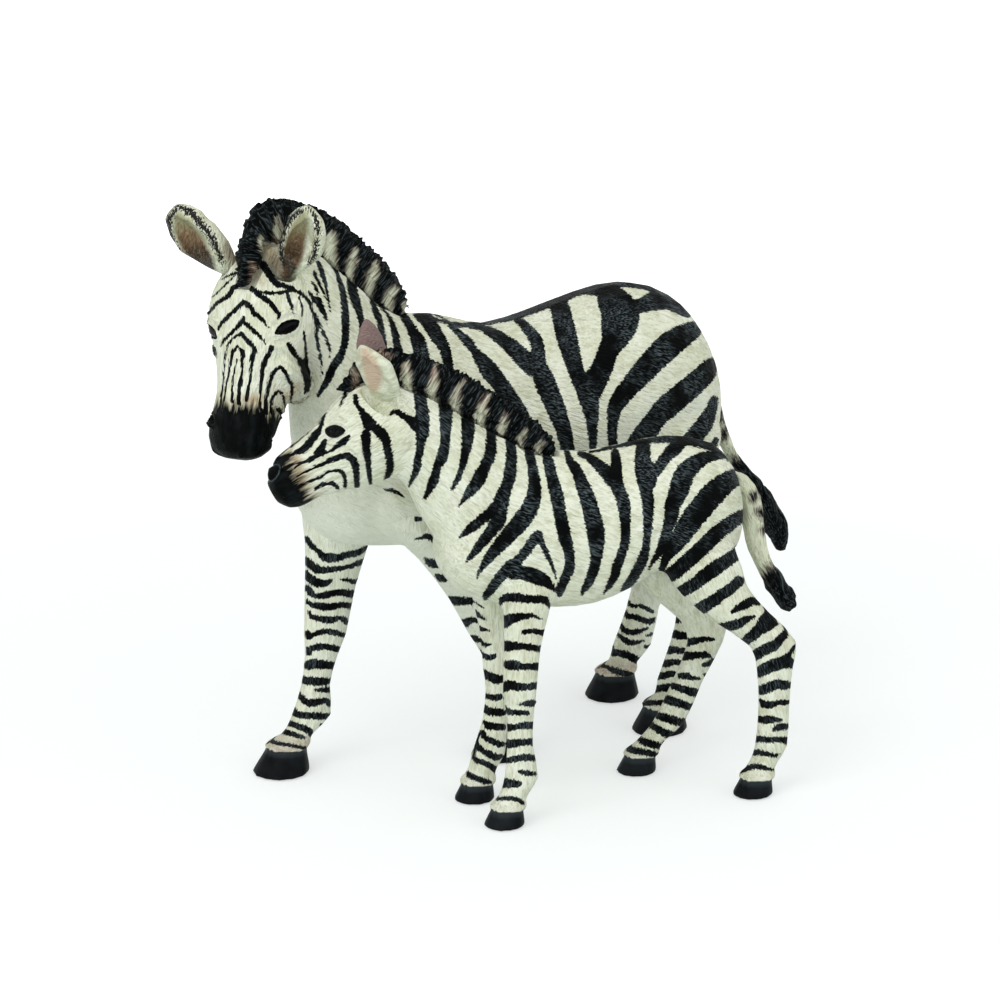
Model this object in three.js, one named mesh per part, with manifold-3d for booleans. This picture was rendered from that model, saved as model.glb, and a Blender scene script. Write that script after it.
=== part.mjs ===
// A toy zebra mare and her foal: two free-standing figures of solid soft plastic.
// Each figure is put together from eleven mouldings. Six-sided pegs key them into sockets,
// and the mane, the ears and the tail seat in grooves and pockets of their own shape.
// Each figure is modelled with X from tail to nose, Y to its own left and Z up,
// and stands on its four hooves at the height zero.

import * as THREE from 'three';
import { mergeVertices } from 'three/addons/utils/BufferGeometryUtils.js';
import Module from 'manifold-3d';

// Sizes of the mare, in millimetres
const mareSizes = {
  bodyLength: 76,
  withersHeight: 71.5,
  bodyWidth: 27,
  headLength: 30,
  headDepth: 14,
  headWidth: 14,
  eyeSize: 2.7,
  earLength: 12.4,
  earWidth: 7.4,
  earDepth: 4.4,
  earWall: 1.1,
  maneHeight: 6.4,
  maneThickness: 3.6,
  maneTongue: 1.6,
  legWidth: 6,
  hoofWidth: 8.6,
  hoofHeight: 4.4,
  tailWidth: 3.6,
  tuftWidth: 6.2,
  legPegRadius: 1.7,
  legPegLength: 5,
  neckPegRadius: 3.2,
  neckPegLength: 7,
};

// Sizes of the foal, in millimetres
const foalSizes = {
  bodyLength: 46,
  withersHeight: 56.5,
  bodyWidth: 16.6,
  headLength: 23.5,
  headDepth: 14.6,
  headWidth: 10,
  eyeSize: 2.5,
  earLength: 10.4,
  earWidth: 6.6,
  earDepth: 3.6,
  earWall: 1,
  maneHeight: 5,
  maneThickness: 2.8,
  maneTongue: 1.3,
  legWidth: 5,
  hoofWidth: 6.6,
  hoofHeight: 3.2,
  tailWidth: 4,
  tuftWidth: 5,
  legPegRadius: 1.2,
  legPegLength: 3.6,
  neckPegRadius: 2.2,
  neckPegLength: 5,
};

// Where the foal stands beside the mare, in millimetres
const foalAhead = 25.3;
const foalAside = 27.9;

// Fit of the mouldings, in millimetres
const jointGap = 0.3;
const cutOverrun = 400;
const weldDistance = 0.0002;

// Directions the figures face, in degrees
const mareTurn = 30.5;
const foalTurn = 20;

// Fineness of the mouldings
const trunkSides = 20;
const headSides = 18;
const limbSides = 12;
const stripSides = 8;
const pegSides = 6;
const stepsBetween = 2;

// Tables of the mare. A trunk row holds top and bottom places, half width and pinch of the top.
// Along the body they are shares of its length, upwards of the withers height, sideways of the width.
const mareShape = {
  trunkShares: [
    [-0.157, 0.765, 0.67, 0.08, 0],
    [-0.146, 0.825, 0.62, 0.22, 0],
    [-0.121, 0.888, 0.585, 0.34, 0],
    [-0.068, 0.96, 0.58, 0.43, 0],
    [0.026, 1.002, 0.573, 0.474, 0],
    [0.132, 0.996, 0.538, 0.493, 0.05],
    [0.237, 0.974, 0.503, 0.519, 0.1],
    [0.355, 0.959, 0.484, 0.526, 0.12],
    [0.461, 0.993, 0.484, 0.489, 0.18],
    [0.553, 1.015, 0.498, 0.43, 0.22],
    [0.645, 0.986, 0.512, 0.393, 0.15],
    [0.714, 0.916, 0.531, 0.36, 0],
    [0.765, 0.825, 0.568, 0.28, 0],
    [0.788, 0.741, 0.615, 0.15, 0],
  ],
  // Crest place, throat place, sideways offset, half width, pinch of the crest
  neckShares: [
    [0.5, 0.982, 0.737, 0.559, 0, 0.352, 0.2],
    [0.56, 1.015, 0.783, 0.657, 0, 0.34, 0.2],
    [0.612, 1.046, 0.803, 0.762, 0, 0.289, 0.25],
    [0.664, 1.096, 0.806, 0.84, 0, 0.244, 0.25],
    [0.717, 1.147, 0.803, 0.916, 0, 0.222, 0.2],
    [0.77, 1.192, 0.81, 0.98, 0, 0.207, 0.15],
    [0.822, 1.217, 0.83, 1.02, -0.01, 0.17, 0.1],
  ],
  neckCutShares: [0.655, 0.87],
  neckCutLean: 45,
  // Head rows: along, rise and drop from the axis, half width, pinch of the underside
  headShares: [
    [-0.133, 0.107, 0.286, 0.17, 0],
    [-0.073, 0.243, 0.464, 0.33, 0],
    [0.033, 0.329, 0.571, 0.48, 0.1],
    [0.167, 0.364, 0.63, 0.6, 0.25],
    [0.3, 0.357, 0.67, 0.6, 0.3],
    [0.417, 0.336, 0.73, 0.5, 0.3],
    [0.533, 0.3, 0.74, 0.42, 0.3],
    [0.65, 0.279, 0.63, 0.365, 0.2],
    [0.767, 0.279, 0.44, 0.365, 0.05],
    [0.867, 0.25, 0.31, 0.355, 0],
    [0.933, 0.171, 0.236, 0.27, 0],
    [0.963, 0.071, 0.1, 0.13, 0],
  ],
  headPlaceShares: [0.861, -0.045, 1.155],
  headYaw: 32,
  headPitch: 67,
  headTilt: 3,
  eyePlaceShares: [0.31, 0.44, 0.15],
  earPlaceShares: [0.02, 0.3, 0.12],
  // Ears: the way to the tip and the way the hollow faces, in the frame of the head
  leftEarWays: [[-0.73, 0.51, 0.46], [0.35, 0.3, 0.9]],
  rightEarWays: [[-0.63, -0.64, 0.44], [0.4, 0, 0.9]],
  // Mane rows along the neck: row of the crest, height
  maneRowShares: [[0.17, 0.28], [0.25, 0.62], [0.42, 0.85], [0.58, 0.94], [0.75, 0.96], [0.96, 0.94]],
  // Forelock rows on the head: along, height of the root, height and lead of the tip, width,
  // and how far it lies aside
  forelockShares: [
    [-0.06, 0.2, 0.38, -0.23, 1.2, 0.045], [0.03, 0.22, 0.55, -0.1, 1.35, 0.045], [0.12, 0.28, 0.42, 0.02, 0.7, 0.01],
  ],
  // Legs: forwards and sideways places of the centre line from the top down
  foreHeightShares: [0.839, 0.7, 0.58, 0.497, 0.392, 0.294, 0.249, 0.182, 0.115, 0.081],
  foreWidthShares: [
    [0.7, 0.7, 0.4],
    [1.25, 1.4, 0.75],
    [1.05, 1.25, 0.783],
    [0.8, 1, 0.667],
    [0.6, 0.8, 0.517],
    [0.51, 0.63, 0.483],
    [0.4, 0.5, 0.383],
    [0.333, 0.45, 0.33],
    [0.433, 0.66, 0.417],
    [0.417, 0.417, 0.375],
  ],
  hindHeightShares: [0.867, 0.727, 0.608, 0.517, 0.42, 0.336, 0.273, 0.196, 0.112, 0.078],
  hindWidthShares: [
    [1, 0.8, 0.5],
    [1.8, 1.7, 0.86],
    [1.667, 1.9, 0.867],
    [1.133, 1.433, 0.717],
    [0.85, 0.97, 0.58],
    [0.7, 0.87, 0.54],
    [0.56, 0.61, 0.46],
    [0.45, 0.49, 0.39],
    [0.5, 0.6, 0.45],
    [0.417, 0.4, 0.383],
  ],
  legShares: {
    foreleg_left: [
      [0.645, 0.1], [0.63, 0.22], [0.572, 0.27], [0.516, 0.259], [0.458, 0.244],
      [0.412, 0.23], [0.393, 0.222], [0.37, 0.215], [0.345, 0.207], [0.355, 0.204],
      [0.368, 0.2], [0.375, 0.2],
    ],
    foreleg_right: [
      [0.645, -0.1], [0.655, -0.22], [0.658, -0.27], [0.67, -0.259], [0.692, -0.244],
      [0.704, -0.23], [0.713, -0.226], [0.729, -0.222], [0.745, -0.219], [0.768, -0.215],
      [0.792, -0.211], [0.805, -0.211],
    ],
    hindleg_left: [
      [0.02, 0.1], [0.005, 0.26], [0.033, 0.326], [0.018, 0.33], [-0.029, 0.326],
      [-0.076, 0.319], [-0.075, 0.319], [-0.051, 0.315], [-0.024, 0.315], [-0.01, 0.315],
      [0.003, 0.315], [0.011, 0.315],
    ],
    hindleg_right: [
      [0.02, -0.1], [0, -0.26], [0.02, -0.326], [-0.007, -0.33], [-0.059, -0.326],
      [-0.109, -0.319], [-0.108, -0.319], [-0.082, -0.315], [-0.053, -0.315], [-0.036, -0.315],
      [-0.018, -0.315], [-0.011, -0.315],
    ],
  },
  foreCutRow: 2,
  hindCutRow: 2,
  // Tail rows: along, upwards, sideways, width; the last rows belong to the tuft
  tailShares: [
    [-0.085, 0.85, 0, 0.3], [-0.13, 0.84, 0, 0.45], [-0.158, 0.775, 0, 0.5], [-0.175, 0.7, 0, 0.47],
    [-0.203, 0.62, 0, 0.4], [-0.235, 0.555, 0, 0.4],
  ],
  tuftShares: [
    [-0.28, 0.495, 0, 0.38], [-0.318, 0.43, 0, 0.44], [-0.345, 0.37, 0, 0.38],
    [-0.36, 0.32, 0, 0.12],
  ],
};

// Tables of the foal, in the same order
const foalShape = {
  trunkShares: [
    [-0.502, 0.83, 0.71, 0.13, 0],
    [-0.478, 0.9, 0.665, 0.28, 0],
    [-0.408, 0.968, 0.65, 0.4, 0],
    [-0.261, 0.998, 0.655, 0.47, 0],
    [-0.109, 0.989, 0.595, 0.5, 0],
    [0.022, 0.982, 0.563, 0.512, 0.08],
    [0.152, 0.998, 0.563, 0.488, 0.15],
    [0.261, 0.991, 0.577, 0.452, 0.2],
    [0.37, 0.947, 0.598, 0.422, 0.1],
    [0.467, 0.876, 0.63, 0.373, 0],
    [0.522, 0.823, 0.681, 0.277, 0],
    [0.548, 0.779, 0.726, 0.145, 0],
  ],
  neckShares: [
    [0.087, 0.982, 0.391, 0.602, 0, 0.398, 0.2],
    [0.196, 1, 0.511, 0.717, 0, 0.398, 0.2],
    [0.293, 1.042, 0.565, 0.805, 0, 0.337, 0.25],
    [0.402, 1.1, 0.613, 0.873, 0, 0.289, 0.25],
    [0.522, 1.163, 0.643, 0.931, 0, 0.259, 0.2],
    [0.62, 1.21, 0.685, 0.973, 0, 0.235, 0.15],
    [0.7, 1.24, 0.739, 1.009, 0, 0.205, 0.1],
  ],
  neckCutShares: [0.37, 0.9],
  neckCutLean: 42,
  headShares: [
    [-0.128, 0.171, 0.274, 0.26, 0],
    [-0.064, 0.34, 0.479, 0.38, 0],
    [0.043, 0.452, 0.58, 0.45, 0.1],
    [0.17, 0.445, 0.589, 0.49, 0.2],
    [0.323, 0.356, 0.56, 0.46, 0.25],
    [0.485, 0.26, 0.479, 0.37, 0.2],
    [0.647, 0.212, 0.4, 0.3, 0.1],
    [0.766, 0.175, 0.395, 0.31, 0],
    [0.853, 0.11, 0.35, 0.27, 0],
    [0.902, -0.02, 0.24, 0.15, 0],
  ],
  headPlaceShares: [0.695, 0, 1.145],
  headYaw: -16,
  headPitch: 29,
  headTilt: 0,
  eyePlaceShares: [0.34, 0.41, 0.16],
  earPlaceShares: [0, 0.3, 0.2],
  leftEarWays: [[-0.17, 0.27, 0.95], [0.7, 0.7, -0.1]],
  rightEarWays: [[-0.3, -0.2, 0.93], [0.55, -0.8, -0.2]],
  maneRowShares: [[0.1, 0.12], [0.2, 0.6], [0.36, 0.9], [0.56, 1], [0.76, 1.02], [0.95, 1]],
  forelockShares: [
    [-0.06, 0.34, 0.66, -0.1, 0.9, 0], [0.06, 0.38, 0.64, 0.02, 1, 0], [0.16, 0.36, 0.5, 0.08, 0.6, 0],
  ],
  foreHeightShares: [0.85, 0.752, 0.655, 0.584, 0.487, 0.368, 0.31, 0.221, 0.129, 0.088],
  foreWidthShares: [
    [0.6, 0.56, 0.3],
    [0.96, 0.9, 0.54],
    [0.86, 0.84, 0.62],
    [0.7, 0.72, 0.56],
    [0.56, 0.58, 0.48],
    [0.52, 0.52, 0.48],
    [0.42, 0.44, 0.4],
    [0.39, 0.42, 0.35],
    [0.46, 0.6, 0.44],
    [0.44, 0.46, 0.4],
  ],
  hindHeightShares: [0.885, 0.779, 0.681, 0.593, 0.513, 0.425, 0.354, 0.248, 0.133, 0.088],
  hindWidthShares: [
    [0.8, 0.7, 0.36],
    [1.3, 1.3, 0.6],
    [1.24, 1.36, 0.62],
    [1.08, 1.08, 0.56],
    [0.97, 0.96, 0.52],
    [0.68, 0.84, 0.48],
    [0.54, 0.62, 0.44],
    [0.48, 0.52, 0.39],
    [0.46, 0.56, 0.44],
    [0.44, 0.44, 0.4],
  ],
  legShares: {
    foreleg_left: [
      [0.283, 0.1], [0.29, 0.24], [0.272, 0.301], [0.283, 0.319], [0.298, 0.331],
      [0.307, 0.343], [0.307, 0.349], [0.309, 0.355], [0.311, 0.361], [0.33, 0.367],
      [0.348, 0.367], [0.359, 0.367],
    ],
    foreleg_right: [
      [0.283, -0.1], [0.295, -0.24], [0.293, -0.301], [0.311, -0.319], [0.298, -0.325],
      [0.289, -0.325], [0.291, -0.325], [0.307, -0.325], [0.335, -0.325], [0.35, -0.325],
      [0.363, -0.325], [0.374, -0.325],
    ],
    hindleg_left: [
      [-0.26, 0.1], [-0.27, 0.26], [-0.311, 0.349], [-0.367, 0.38], [-0.457, 0.404],
      [-0.564, 0.422], [-0.575, 0.428], [-0.576, 0.434], [-0.565, 0.434], [-0.543, 0.434],
      [-0.524, 0.434], [-0.511, 0.434],
    ],
    hindleg_right: [
      [-0.24, -0.1], [-0.25, -0.26], [-0.272, -0.349], [-0.3, -0.386], [-0.36, -0.422],
      [-0.445, -0.446], [-0.459, -0.458], [-0.4, -0.464], [-0.331, -0.47], [-0.276, -0.47],
      [-0.239, -0.47], [-0.224, -0.47],
    ],
  },
  foreCutRow: 2,
  hindCutRow: 2,
  tailShares: [
    [-0.44, 0.89, 0, 0.3], [-0.5, 0.875, 0, 0.42], [-0.545, 0.815, 0, 0.46], [-0.557, 0.74, 0, 0.47],
    [-0.573, 0.665, 0, 0.46], [-0.6, 0.61, 0, 0.44],
  ],
  tuftShares: [
    [-0.628, 0.575, 0, 0.44], [-0.652, 0.54, 0, 0.48], [-0.673, 0.498, 0, 0.4],
    [-0.682, 0.47, 0, 0.14],
  ],
};

// Ear rows: along, half width, half depth, as shares of the ear's own sizes
const earShares = [
  [-0.18, 0.2, 0.26],
  [0, 0.3, 0.42],
  [0.2, 0.44, 0.5],
  [0.46, 0.5, 0.5],
  [0.7, 0.42, 0.4],
  [0.88, 0.25, 0.26],
  [0.97, 0.11, 0.12],
  [1, 0.04, 0.04],
];
// The hollow of the ear starts and ends at these shares of its length
const earHollowShares = [0.08, 0.93];
const earHollowLeadShare = 0.52;

// Hoof rows: height, front, back, half width, as shares of the hoof's sizes
const hoofShares = [
  [1, 0.4, 0.37, 0.37],
  [0, 0.545, 0.47, 0.49],
];
const eyeFlatShare = 0.55;
const maneEdgeShare = 0.45;
const tailFlatShare = 0.35;
const tailRootRows = 5;
const legCutSlopeShare = 0.7;

const moulding = await Module();
moulding.setup();

const metal = 0;
const finishes = {
  coat: { color: 0xe9e5d2, roughness: 0.62 },
  mane: { color: 0x2a2523, roughness: 0.7 },
  ear: { color: 0xc9b79c, roughness: 0.66 },
  tail: { color: 0xcfc6b0, roughness: 0.66 },
};

// Closed solids from geometry, and back
function solidOf(geometry) {
  const bare = geometry.clone();
  bare.deleteAttribute('normal');
  bare.deleteAttribute('uv');
  const welded = mergeVertices(bare, weldDistance);
  const mesh = new moulding.Mesh({
    numProp: 3,
    vertProperties: new Float32Array(welded.attributes.position.array),
    triVerts: new Uint32Array(welded.index.array),
  });
  return new moulding.Manifold(mesh);
}

function geometryOf(solid) {
  const mesh = solid.getMesh();
  const geometry = new THREE.BufferGeometry();
  geometry.setAttribute('position', new THREE.BufferAttribute(new Float32Array(mesh.vertProperties), 3));
  geometry.setIndex(new THREE.BufferAttribute(new Uint32Array(mesh.triVerts), 1));
  geometry.computeVertexNormals();
  return geometry;
}

// The largest body of a solid, without slivers that its pockets cut loose
function mainBody(solid) {
  return solid.decompose().reduce((kept, body) => (body.volume() > kept.volume() ? body : kept));
}

// A ring row: its top and bottom points, its sideways half width, and how far it narrows at one end
function ring(top, bottom, side, pinch = 0) {
  return { top, bottom, side, pinch };
}

function numbersOf(row) {
  return [...row.top.toArray(), ...row.bottom.toArray(), ...row.side.toArray(), row.pinch];
}

function rowOf(numbers) {
  return ring(
    new THREE.Vector3(...numbers.slice(0, 3)),
    new THREE.Vector3(...numbers.slice(3, 6)),
    new THREE.Vector3(...numbers.slice(6, 9)),
    numbers[9],
  );
}

function middleOf(row) {
  return row.top.clone().add(row.bottom).multiplyScalar(1 / 2);
}

// Rows between the given rows, on a smooth curve through them
function smoothed(rows, steps) {
  const values = rows.map(numbersOf);
  const places = [0];
  for (let i = 1; i < rows.length; i += 1) {
    places.push(places[i - 1] + middleOf(rows[i]).distanceTo(middleOf(rows[i - 1])));
  }
  const slope = (i, k) => {
    const before = Math.max(i - 1, 0);
    const after = Math.min(i + 1, rows.length - 1);
    return (values[after][k] - values[before][k]) / (places[after] - places[before]);
  };
  const result = [];
  for (let i = 0; i < rows.length - 1; i += 1) {
    const span = places[i + 1] - places[i];
    for (let s = 0; s < steps; s += 1) {
      const t = s / steps;
      const start = 2 * t ** 3 - 3 * t ** 2 + 1;
      const end = 1 - start;
      const leave = t ** 3 - 2 * t ** 2 + t;
      const arrive = t ** 3 - t ** 2;
      result.push(rowOf(values[i].map((value, k) => start * value + end * values[i + 1][k]
        + span * (leave * slope(i, k) + arrive * slope(i + 1, k)))));
    }
  }
  result.push(rows[rows.length - 1]);
  return result;
}

// Rows made larger all round by a clearance
function grown(rows, clearance) {
  const larger = rows.map((row) => {
    const rise = row.top.clone().sub(row.bottom).setLength(clearance);
    const side = row.side.clone().setLength(row.side.length() + clearance);
    return ring(row.top.clone().add(rise), row.bottom.clone().sub(rise), side, row.pinch);
  });
  const lead = (a, b) => middleOf(a).sub(middleOf(b)).setLength(clearance);
  const shifted = (row, shift) => ring(
    row.top.clone().add(shift),
    row.bottom.clone().add(shift),
    row.side,
    row.pinch,
  );
  const last = rows.length - 1;
  larger[0] = shifted(larger[0], lead(rows[0], rows[1]));
  larger[last] = shifted(larger[last], lead(rows[last], rows[last - 1]));
  return larger;
}

// A closed skin over the rings, its two ends closed flat
function loft(rows, sides) {
  const points = [];
  for (const row of rows) {
    const middle = middleOf(row);
    const rise = row.top.clone().sub(row.bottom).multiplyScalar(1 / 2);
    for (let j = 0; j < sides; j += 1) {
      const angle = 2 * Math.PI * j / sides;
      const narrow = row.pinch > 0
        ? 1 - row.pinch * Math.max(0, Math.sin(angle)) ** 2
        : 1 + row.pinch * Math.max(0, -Math.sin(angle)) ** 2;
      points.push(middle.clone()
        .addScaledVector(row.side, Math.cos(angle) * narrow)
        .addScaledVector(rise, Math.sin(angle)));
    }
  }
  const faces = [];
  for (let i = 0; i < rows.length - 1; i += 1) {
    for (let j = 0; j < sides; j += 1) {
      const k = (j + 1) % sides;
      const a = i * sides + j;
      const b = i * sides + k;
      faces.push(a, b, b + sides, a, b + sides, a + sides);
    }
  }
  const firstMiddle = points.length;
  points.push(middleOf(rows[0]), middleOf(rows[rows.length - 1]));
  const lastRing = (rows.length - 1) * sides;
  for (let j = 0; j < sides; j += 1) {
    const k = (j + 1) % sides;
    faces.push(firstMiddle, k, j, firstMiddle + 1, lastRing + j, lastRing + k);
  }
  const geometry = new THREE.BufferGeometry();
  geometry.setAttribute('position', new THREE.Float32BufferAttribute(points.flatMap((p) => p.toArray()), 3));
  geometry.setIndex(faces);
  const solid = solidOf(geometry);
  if (solid.volume() > 0) {
    return solid;
  }
  geometry.setIndex(faces.reverse());
  return solidOf(geometry);
}

// All that lies on the far side of a plane
function beyond(point, normal) {
  const box = new THREE.BoxGeometry(2 * cutOverrun, 2 * cutOverrun, cutOverrun);
  box.translate(0, 0, cutOverrun / 2);
  box.applyQuaternion(new THREE.Quaternion().setFromUnitVectors(new THREE.Vector3(0, 0, 1), normal));
  box.translate(...point.toArray());
  return solidOf(box);
}

// A six-sided peg from one point towards another, as long as the two lie apart
function peg(from, to, radius, clearance = 0) {
  const length = from.distanceTo(to) + 2 * clearance;
  const direction = to.clone().sub(from).normalize();
  const body = new THREE.CylinderGeometry(radius + clearance, radius + clearance, length, pegSides);
  body.applyQuaternion(new THREE.Quaternion().setFromUnitVectors(new THREE.Vector3(0, 1, 0), direction));
  body.translate(...from.clone().add(to).multiplyScalar(1 / 2).toArray());
  return solidOf(body);
}

function named(name, solid, finish) {
  const material = new THREE.MeshStandardMaterial({ ...finishes[finish], metalness: metal });
  const mesh = new THREE.Mesh(geometryOf(solid), material);
  mesh.name = name;
  return mesh;
}

// One figure from its sizes and its tables
function figure(prefix, sizes, shape) {
  const across = (share) => share * sizes.bodyWidth;
  const along = (share) => share * sizes.bodyLength;
  const high = (share) => share * sizes.withersHeight;
  const place = (x, y, z) => new THREE.Vector3(along(x), across(y), high(z));

  // Trunk and neck rows
  const trunkRows = smoothed(shape.trunkShares.map(([x, top, bottom, half, pinch]) => ring(
    place(x, 0, top),
    place(x, 0, bottom),
    new THREE.Vector3(0, across(half), 0),
    pinch,
  )), stepsBetween);
  const neckRows = smoothed(shape.neckShares.map(([x1, z1, x2, z2, y, half, pinch]) => ring(
    place(x1, y, z1),
    place(x2, y, z2),
    new THREE.Vector3(0, across(half), 0),
    pinch,
  )), stepsBetween);

  // Head frame: its axis runs from the skull to the muzzle
  const yaw = THREE.MathUtils.degToRad(shape.headYaw);
  const pitch = THREE.MathUtils.degToRad(shape.headPitch);
  const tilt = THREE.MathUtils.degToRad(shape.headTilt);
  const headTurn = new THREE.Matrix4().makeRotationFromEuler(new THREE.Euler(tilt, pitch, yaw, 'ZXY'));
  const headPlace = headTurn.clone().setPosition(place(...shape.headPlaceShares));
  const inHead = (x, y, z) => new THREE.Vector3(
    x * sizes.headLength,
    y * sizes.headWidth,
    z * sizes.headDepth,
  ).applyMatrix4(headPlace);
  const headAxis = (x, y, z) => new THREE.Vector3(x, y, z).applyMatrix4(headTurn);
  const headRows = smoothed(shape.headShares.map(([x, rise, drop, half, pinch]) => ring(
    inHead(x, 0, rise),
    inHead(x, 0, -drop),
    headAxis(0, half * sizes.headWidth, 0),
    -pinch,
  )), stepsBetween);

  // Leg rows, from inside the body down to the sole
  const legRows = (name) => {
    const fore = name.startsWith('fore');
    const heights = fore ? shape.foreHeightShares : shape.hindHeightShares;
    const widths = fore ? shape.foreWidthShares : shape.hindWidthShares;
    const path = shape.legShares[name];
    const limb = widths.map(([front, back, half], i) => ({
      middle: place(...path[i], heights[i]),
      front: front * sizes.legWidth,
      back: back * sizes.legWidth,
      half: half * sizes.legWidth,
    }));
    const hoof = hoofShares.map(([height, front, back, half], i) => {
      const [x, y] = path[widths.length + i];
      return {
        middle: new THREE.Vector3(along(x), across(y), height * sizes.hoofHeight),
        front: front * sizes.hoofWidth,
        back: back * sizes.hoofWidth,
        half: half * sizes.hoofWidth,
      };
    });
    const asRing = ({ middle, front, back, half }) => ring(
      middle.clone().add(new THREE.Vector3(front, 0, 0)),
      middle.clone().add(new THREE.Vector3(-back, 0, 0)),
      new THREE.Vector3(0, half, 0),
    );
    return [...smoothed([...limb, hoof[0]].map(asRing), stepsBetween), asRing(hoof[1])];
  };

  // Cuts between the trunk and the neck, and at the top of each leg
  const neckPoint = place(shape.neckCutShares[0], 0, shape.neckCutShares[1]);
  const lean = THREE.MathUtils.degToRad(shape.neckCutLean);
  const neckWay = new THREE.Vector3(Math.cos(lean), 0, Math.sin(lean));
  const back = (point, way, distance) => point.clone().addScaledVector(way, -distance);

  const legs = Object.keys(shape.legShares).map((name) => {
    const fore = name.startsWith('fore');
    const row = fore ? shape.foreCutRow : shape.hindCutRow;
    const heights = fore ? shape.foreHeightShares : shape.hindHeightShares;
    const centre = place(...shape.legShares[name][row], heights[row]);
    const outward = Math.sign(centre.y);
    const way = new THREE.Vector3(0, -outward * legCutSlopeShare, 1).normalize();
    const rows = legRows(name);
    const whole = loft(rows, limbSides);
    const below = whole.subtract(beyond(centre, way));
    const around = loft(grown(rows, jointGap), limbSides).subtract(beyond(back(centre, way, -jointGap), way));
    const pegEnd = back(centre, way, -sizes.legPegLength);
    const pegStart = back(centre, way, sizes.legPegLength / 2);
    return {
      name,
      whole,
      solid: below.add(peg(pegStart, pegEnd, sizes.legPegRadius)),
      space: around.add(peg(pegStart, pegEnd, sizes.legPegRadius, jointGap)),
    };
  });

  // Tail, with its root seated in the rump
  const tailRow = ([x, z, y, half], width) => {
    const middle = place(x, y, z);
    const reach = new THREE.Vector3(half * width, 0, half * width * tailFlatShare);
    return ring(middle.clone().add(reach), middle.clone().sub(reach), new THREE.Vector3(0, half * width, 0));
  };
  const tailRows = smoothed([
    ...shape.tailShares.map((row) => tailRow(row, sizes.tailWidth)),
    ...shape.tuftShares.map((row) => tailRow(row, sizes.tuftWidth)),
  ], stepsBetween);
  const tailOf = (clearance) => {
    const rows = clearance > 0 ? grown(tailRows, clearance) : tailRows;
    const root = loft(rows.slice(0, tailRootRows), stripSides).hull();
    return loft(rows, stripSides).add(root);
  };
  const tail = tailOf(0);
  const tailSpace = tailOf(jointGap);

  // Mane: a strip whose tongue lies in a groove along the crest, and a forelock over the skull
  const maneRows = (clearance) => {
    const rows = shape.maneRowShares.map(([share, height]) => {
      const row = neckRows[Math.round(share * (neckRows.length - 1))];
      const up = row.top.clone().sub(row.bottom).normalize();
      return ring(
        row.top.clone().addScaledVector(up, height * sizes.maneHeight),
        row.top.clone().addScaledVector(up, -sizes.maneTongue),
        new THREE.Vector3(0, sizes.maneThickness / 2, 0),
        maneEdgeShare,
      );
    });
    for (const [x, root, tip, lead, width, aside] of shape.forelockShares) {
      rows.push(ring(
        inHead(x + lead, aside, tip),
        inHead(x, aside, root),
        headAxis(0, width * sizes.maneThickness / 2, 0),
        maneEdgeShare,
      ));
    }
    const fine = smoothed(rows, stepsBetween);
    return clearance > 0 ? grown(fine, clearance) : fine;
  };
  const mane = loft(maneRows(0), stripSides);
  const maneSpace = loft(maneRows(jointGap), stripSides);

  // Ears, hollow at the front, with their roots in the skull
  const ear = (side, [tip, face]) => {
    const [x, y, z] = shape.earPlaceShares;
    const upward = headAxis(...tip).normalize();
    const sideways = upward.clone().cross(headAxis(...face)).normalize();
    const facing = sideways.clone().cross(upward);
    const at = (share, depth) => inHead(x, side * y, z)
      .addScaledVector(upward, share * sizes.earLength)
      .addScaledVector(facing, depth);
    const wide = (half) => sideways.clone().multiplyScalar(half);
    const rows = earShares.map(([share, half, depth]) => ring(
      at(share, depth * sizes.earDepth),
      at(share, -depth * sizes.earDepth),
      wide(half * sizes.earWidth),
    ));
    const [start, end] = earHollowShares;
    const lead = earHollowLeadShare * sizes.earDepth;
    const hollow = earShares.filter(([share]) => share > 0 && share < end + start).map(([share, half, depth]) => ring(
      at(start + share * (end - start), depth * sizes.earDepth + lead),
      at(start + share * (end - start), -depth * sizes.earDepth + lead / 2 + sizes.earWall / 2),
      wide(half * sizes.earWidth - sizes.earWall),
    ));
    return {
      solid: loft(rows, limbSides).subtract(loft(hollow, stripSides)),
      space: loft(grown(rows, jointGap), limbSides),
    };
  };
  const ears = {
    ear_left: ear(1, shape.leftEarWays),
    ear_right: ear(-1, shape.rightEarWays),
  };

  // Head, with the bulges of the eyes
  let head = loft(headRows, headSides);
  for (const side of [1, -1]) {
    const [x, y, z] = shape.eyePlaceShares;
    const eye = new THREE.SphereGeometry(sizes.eyeSize / 2, stripSides, pegSides);
    eye.scale(1, eyeFlatShare, 1);
    eye.applyMatrix4(headTurn);
    eye.translate(...inHead(x, side * y, z).toArray());
    head = head.add(solidOf(eye));
  }
  const headSpace = loft(grown(headRows, jointGap), headSides);
  const skull = inHead(0, 0, 0);
  const neckEnd = middleOf(neckRows[Math.round(neckRows.length / 2)]);
  const intoNeck = neckEnd.clone().sub(skull).setLength(sizes.headDepth / 2 + sizes.neckPegLength).add(skull);
  const headPeg = peg(skull, intoNeck, sizes.neckPegRadius);
  const headPegSpace = peg(skull, intoNeck, sizes.neckPegRadius, jointGap);

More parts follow.
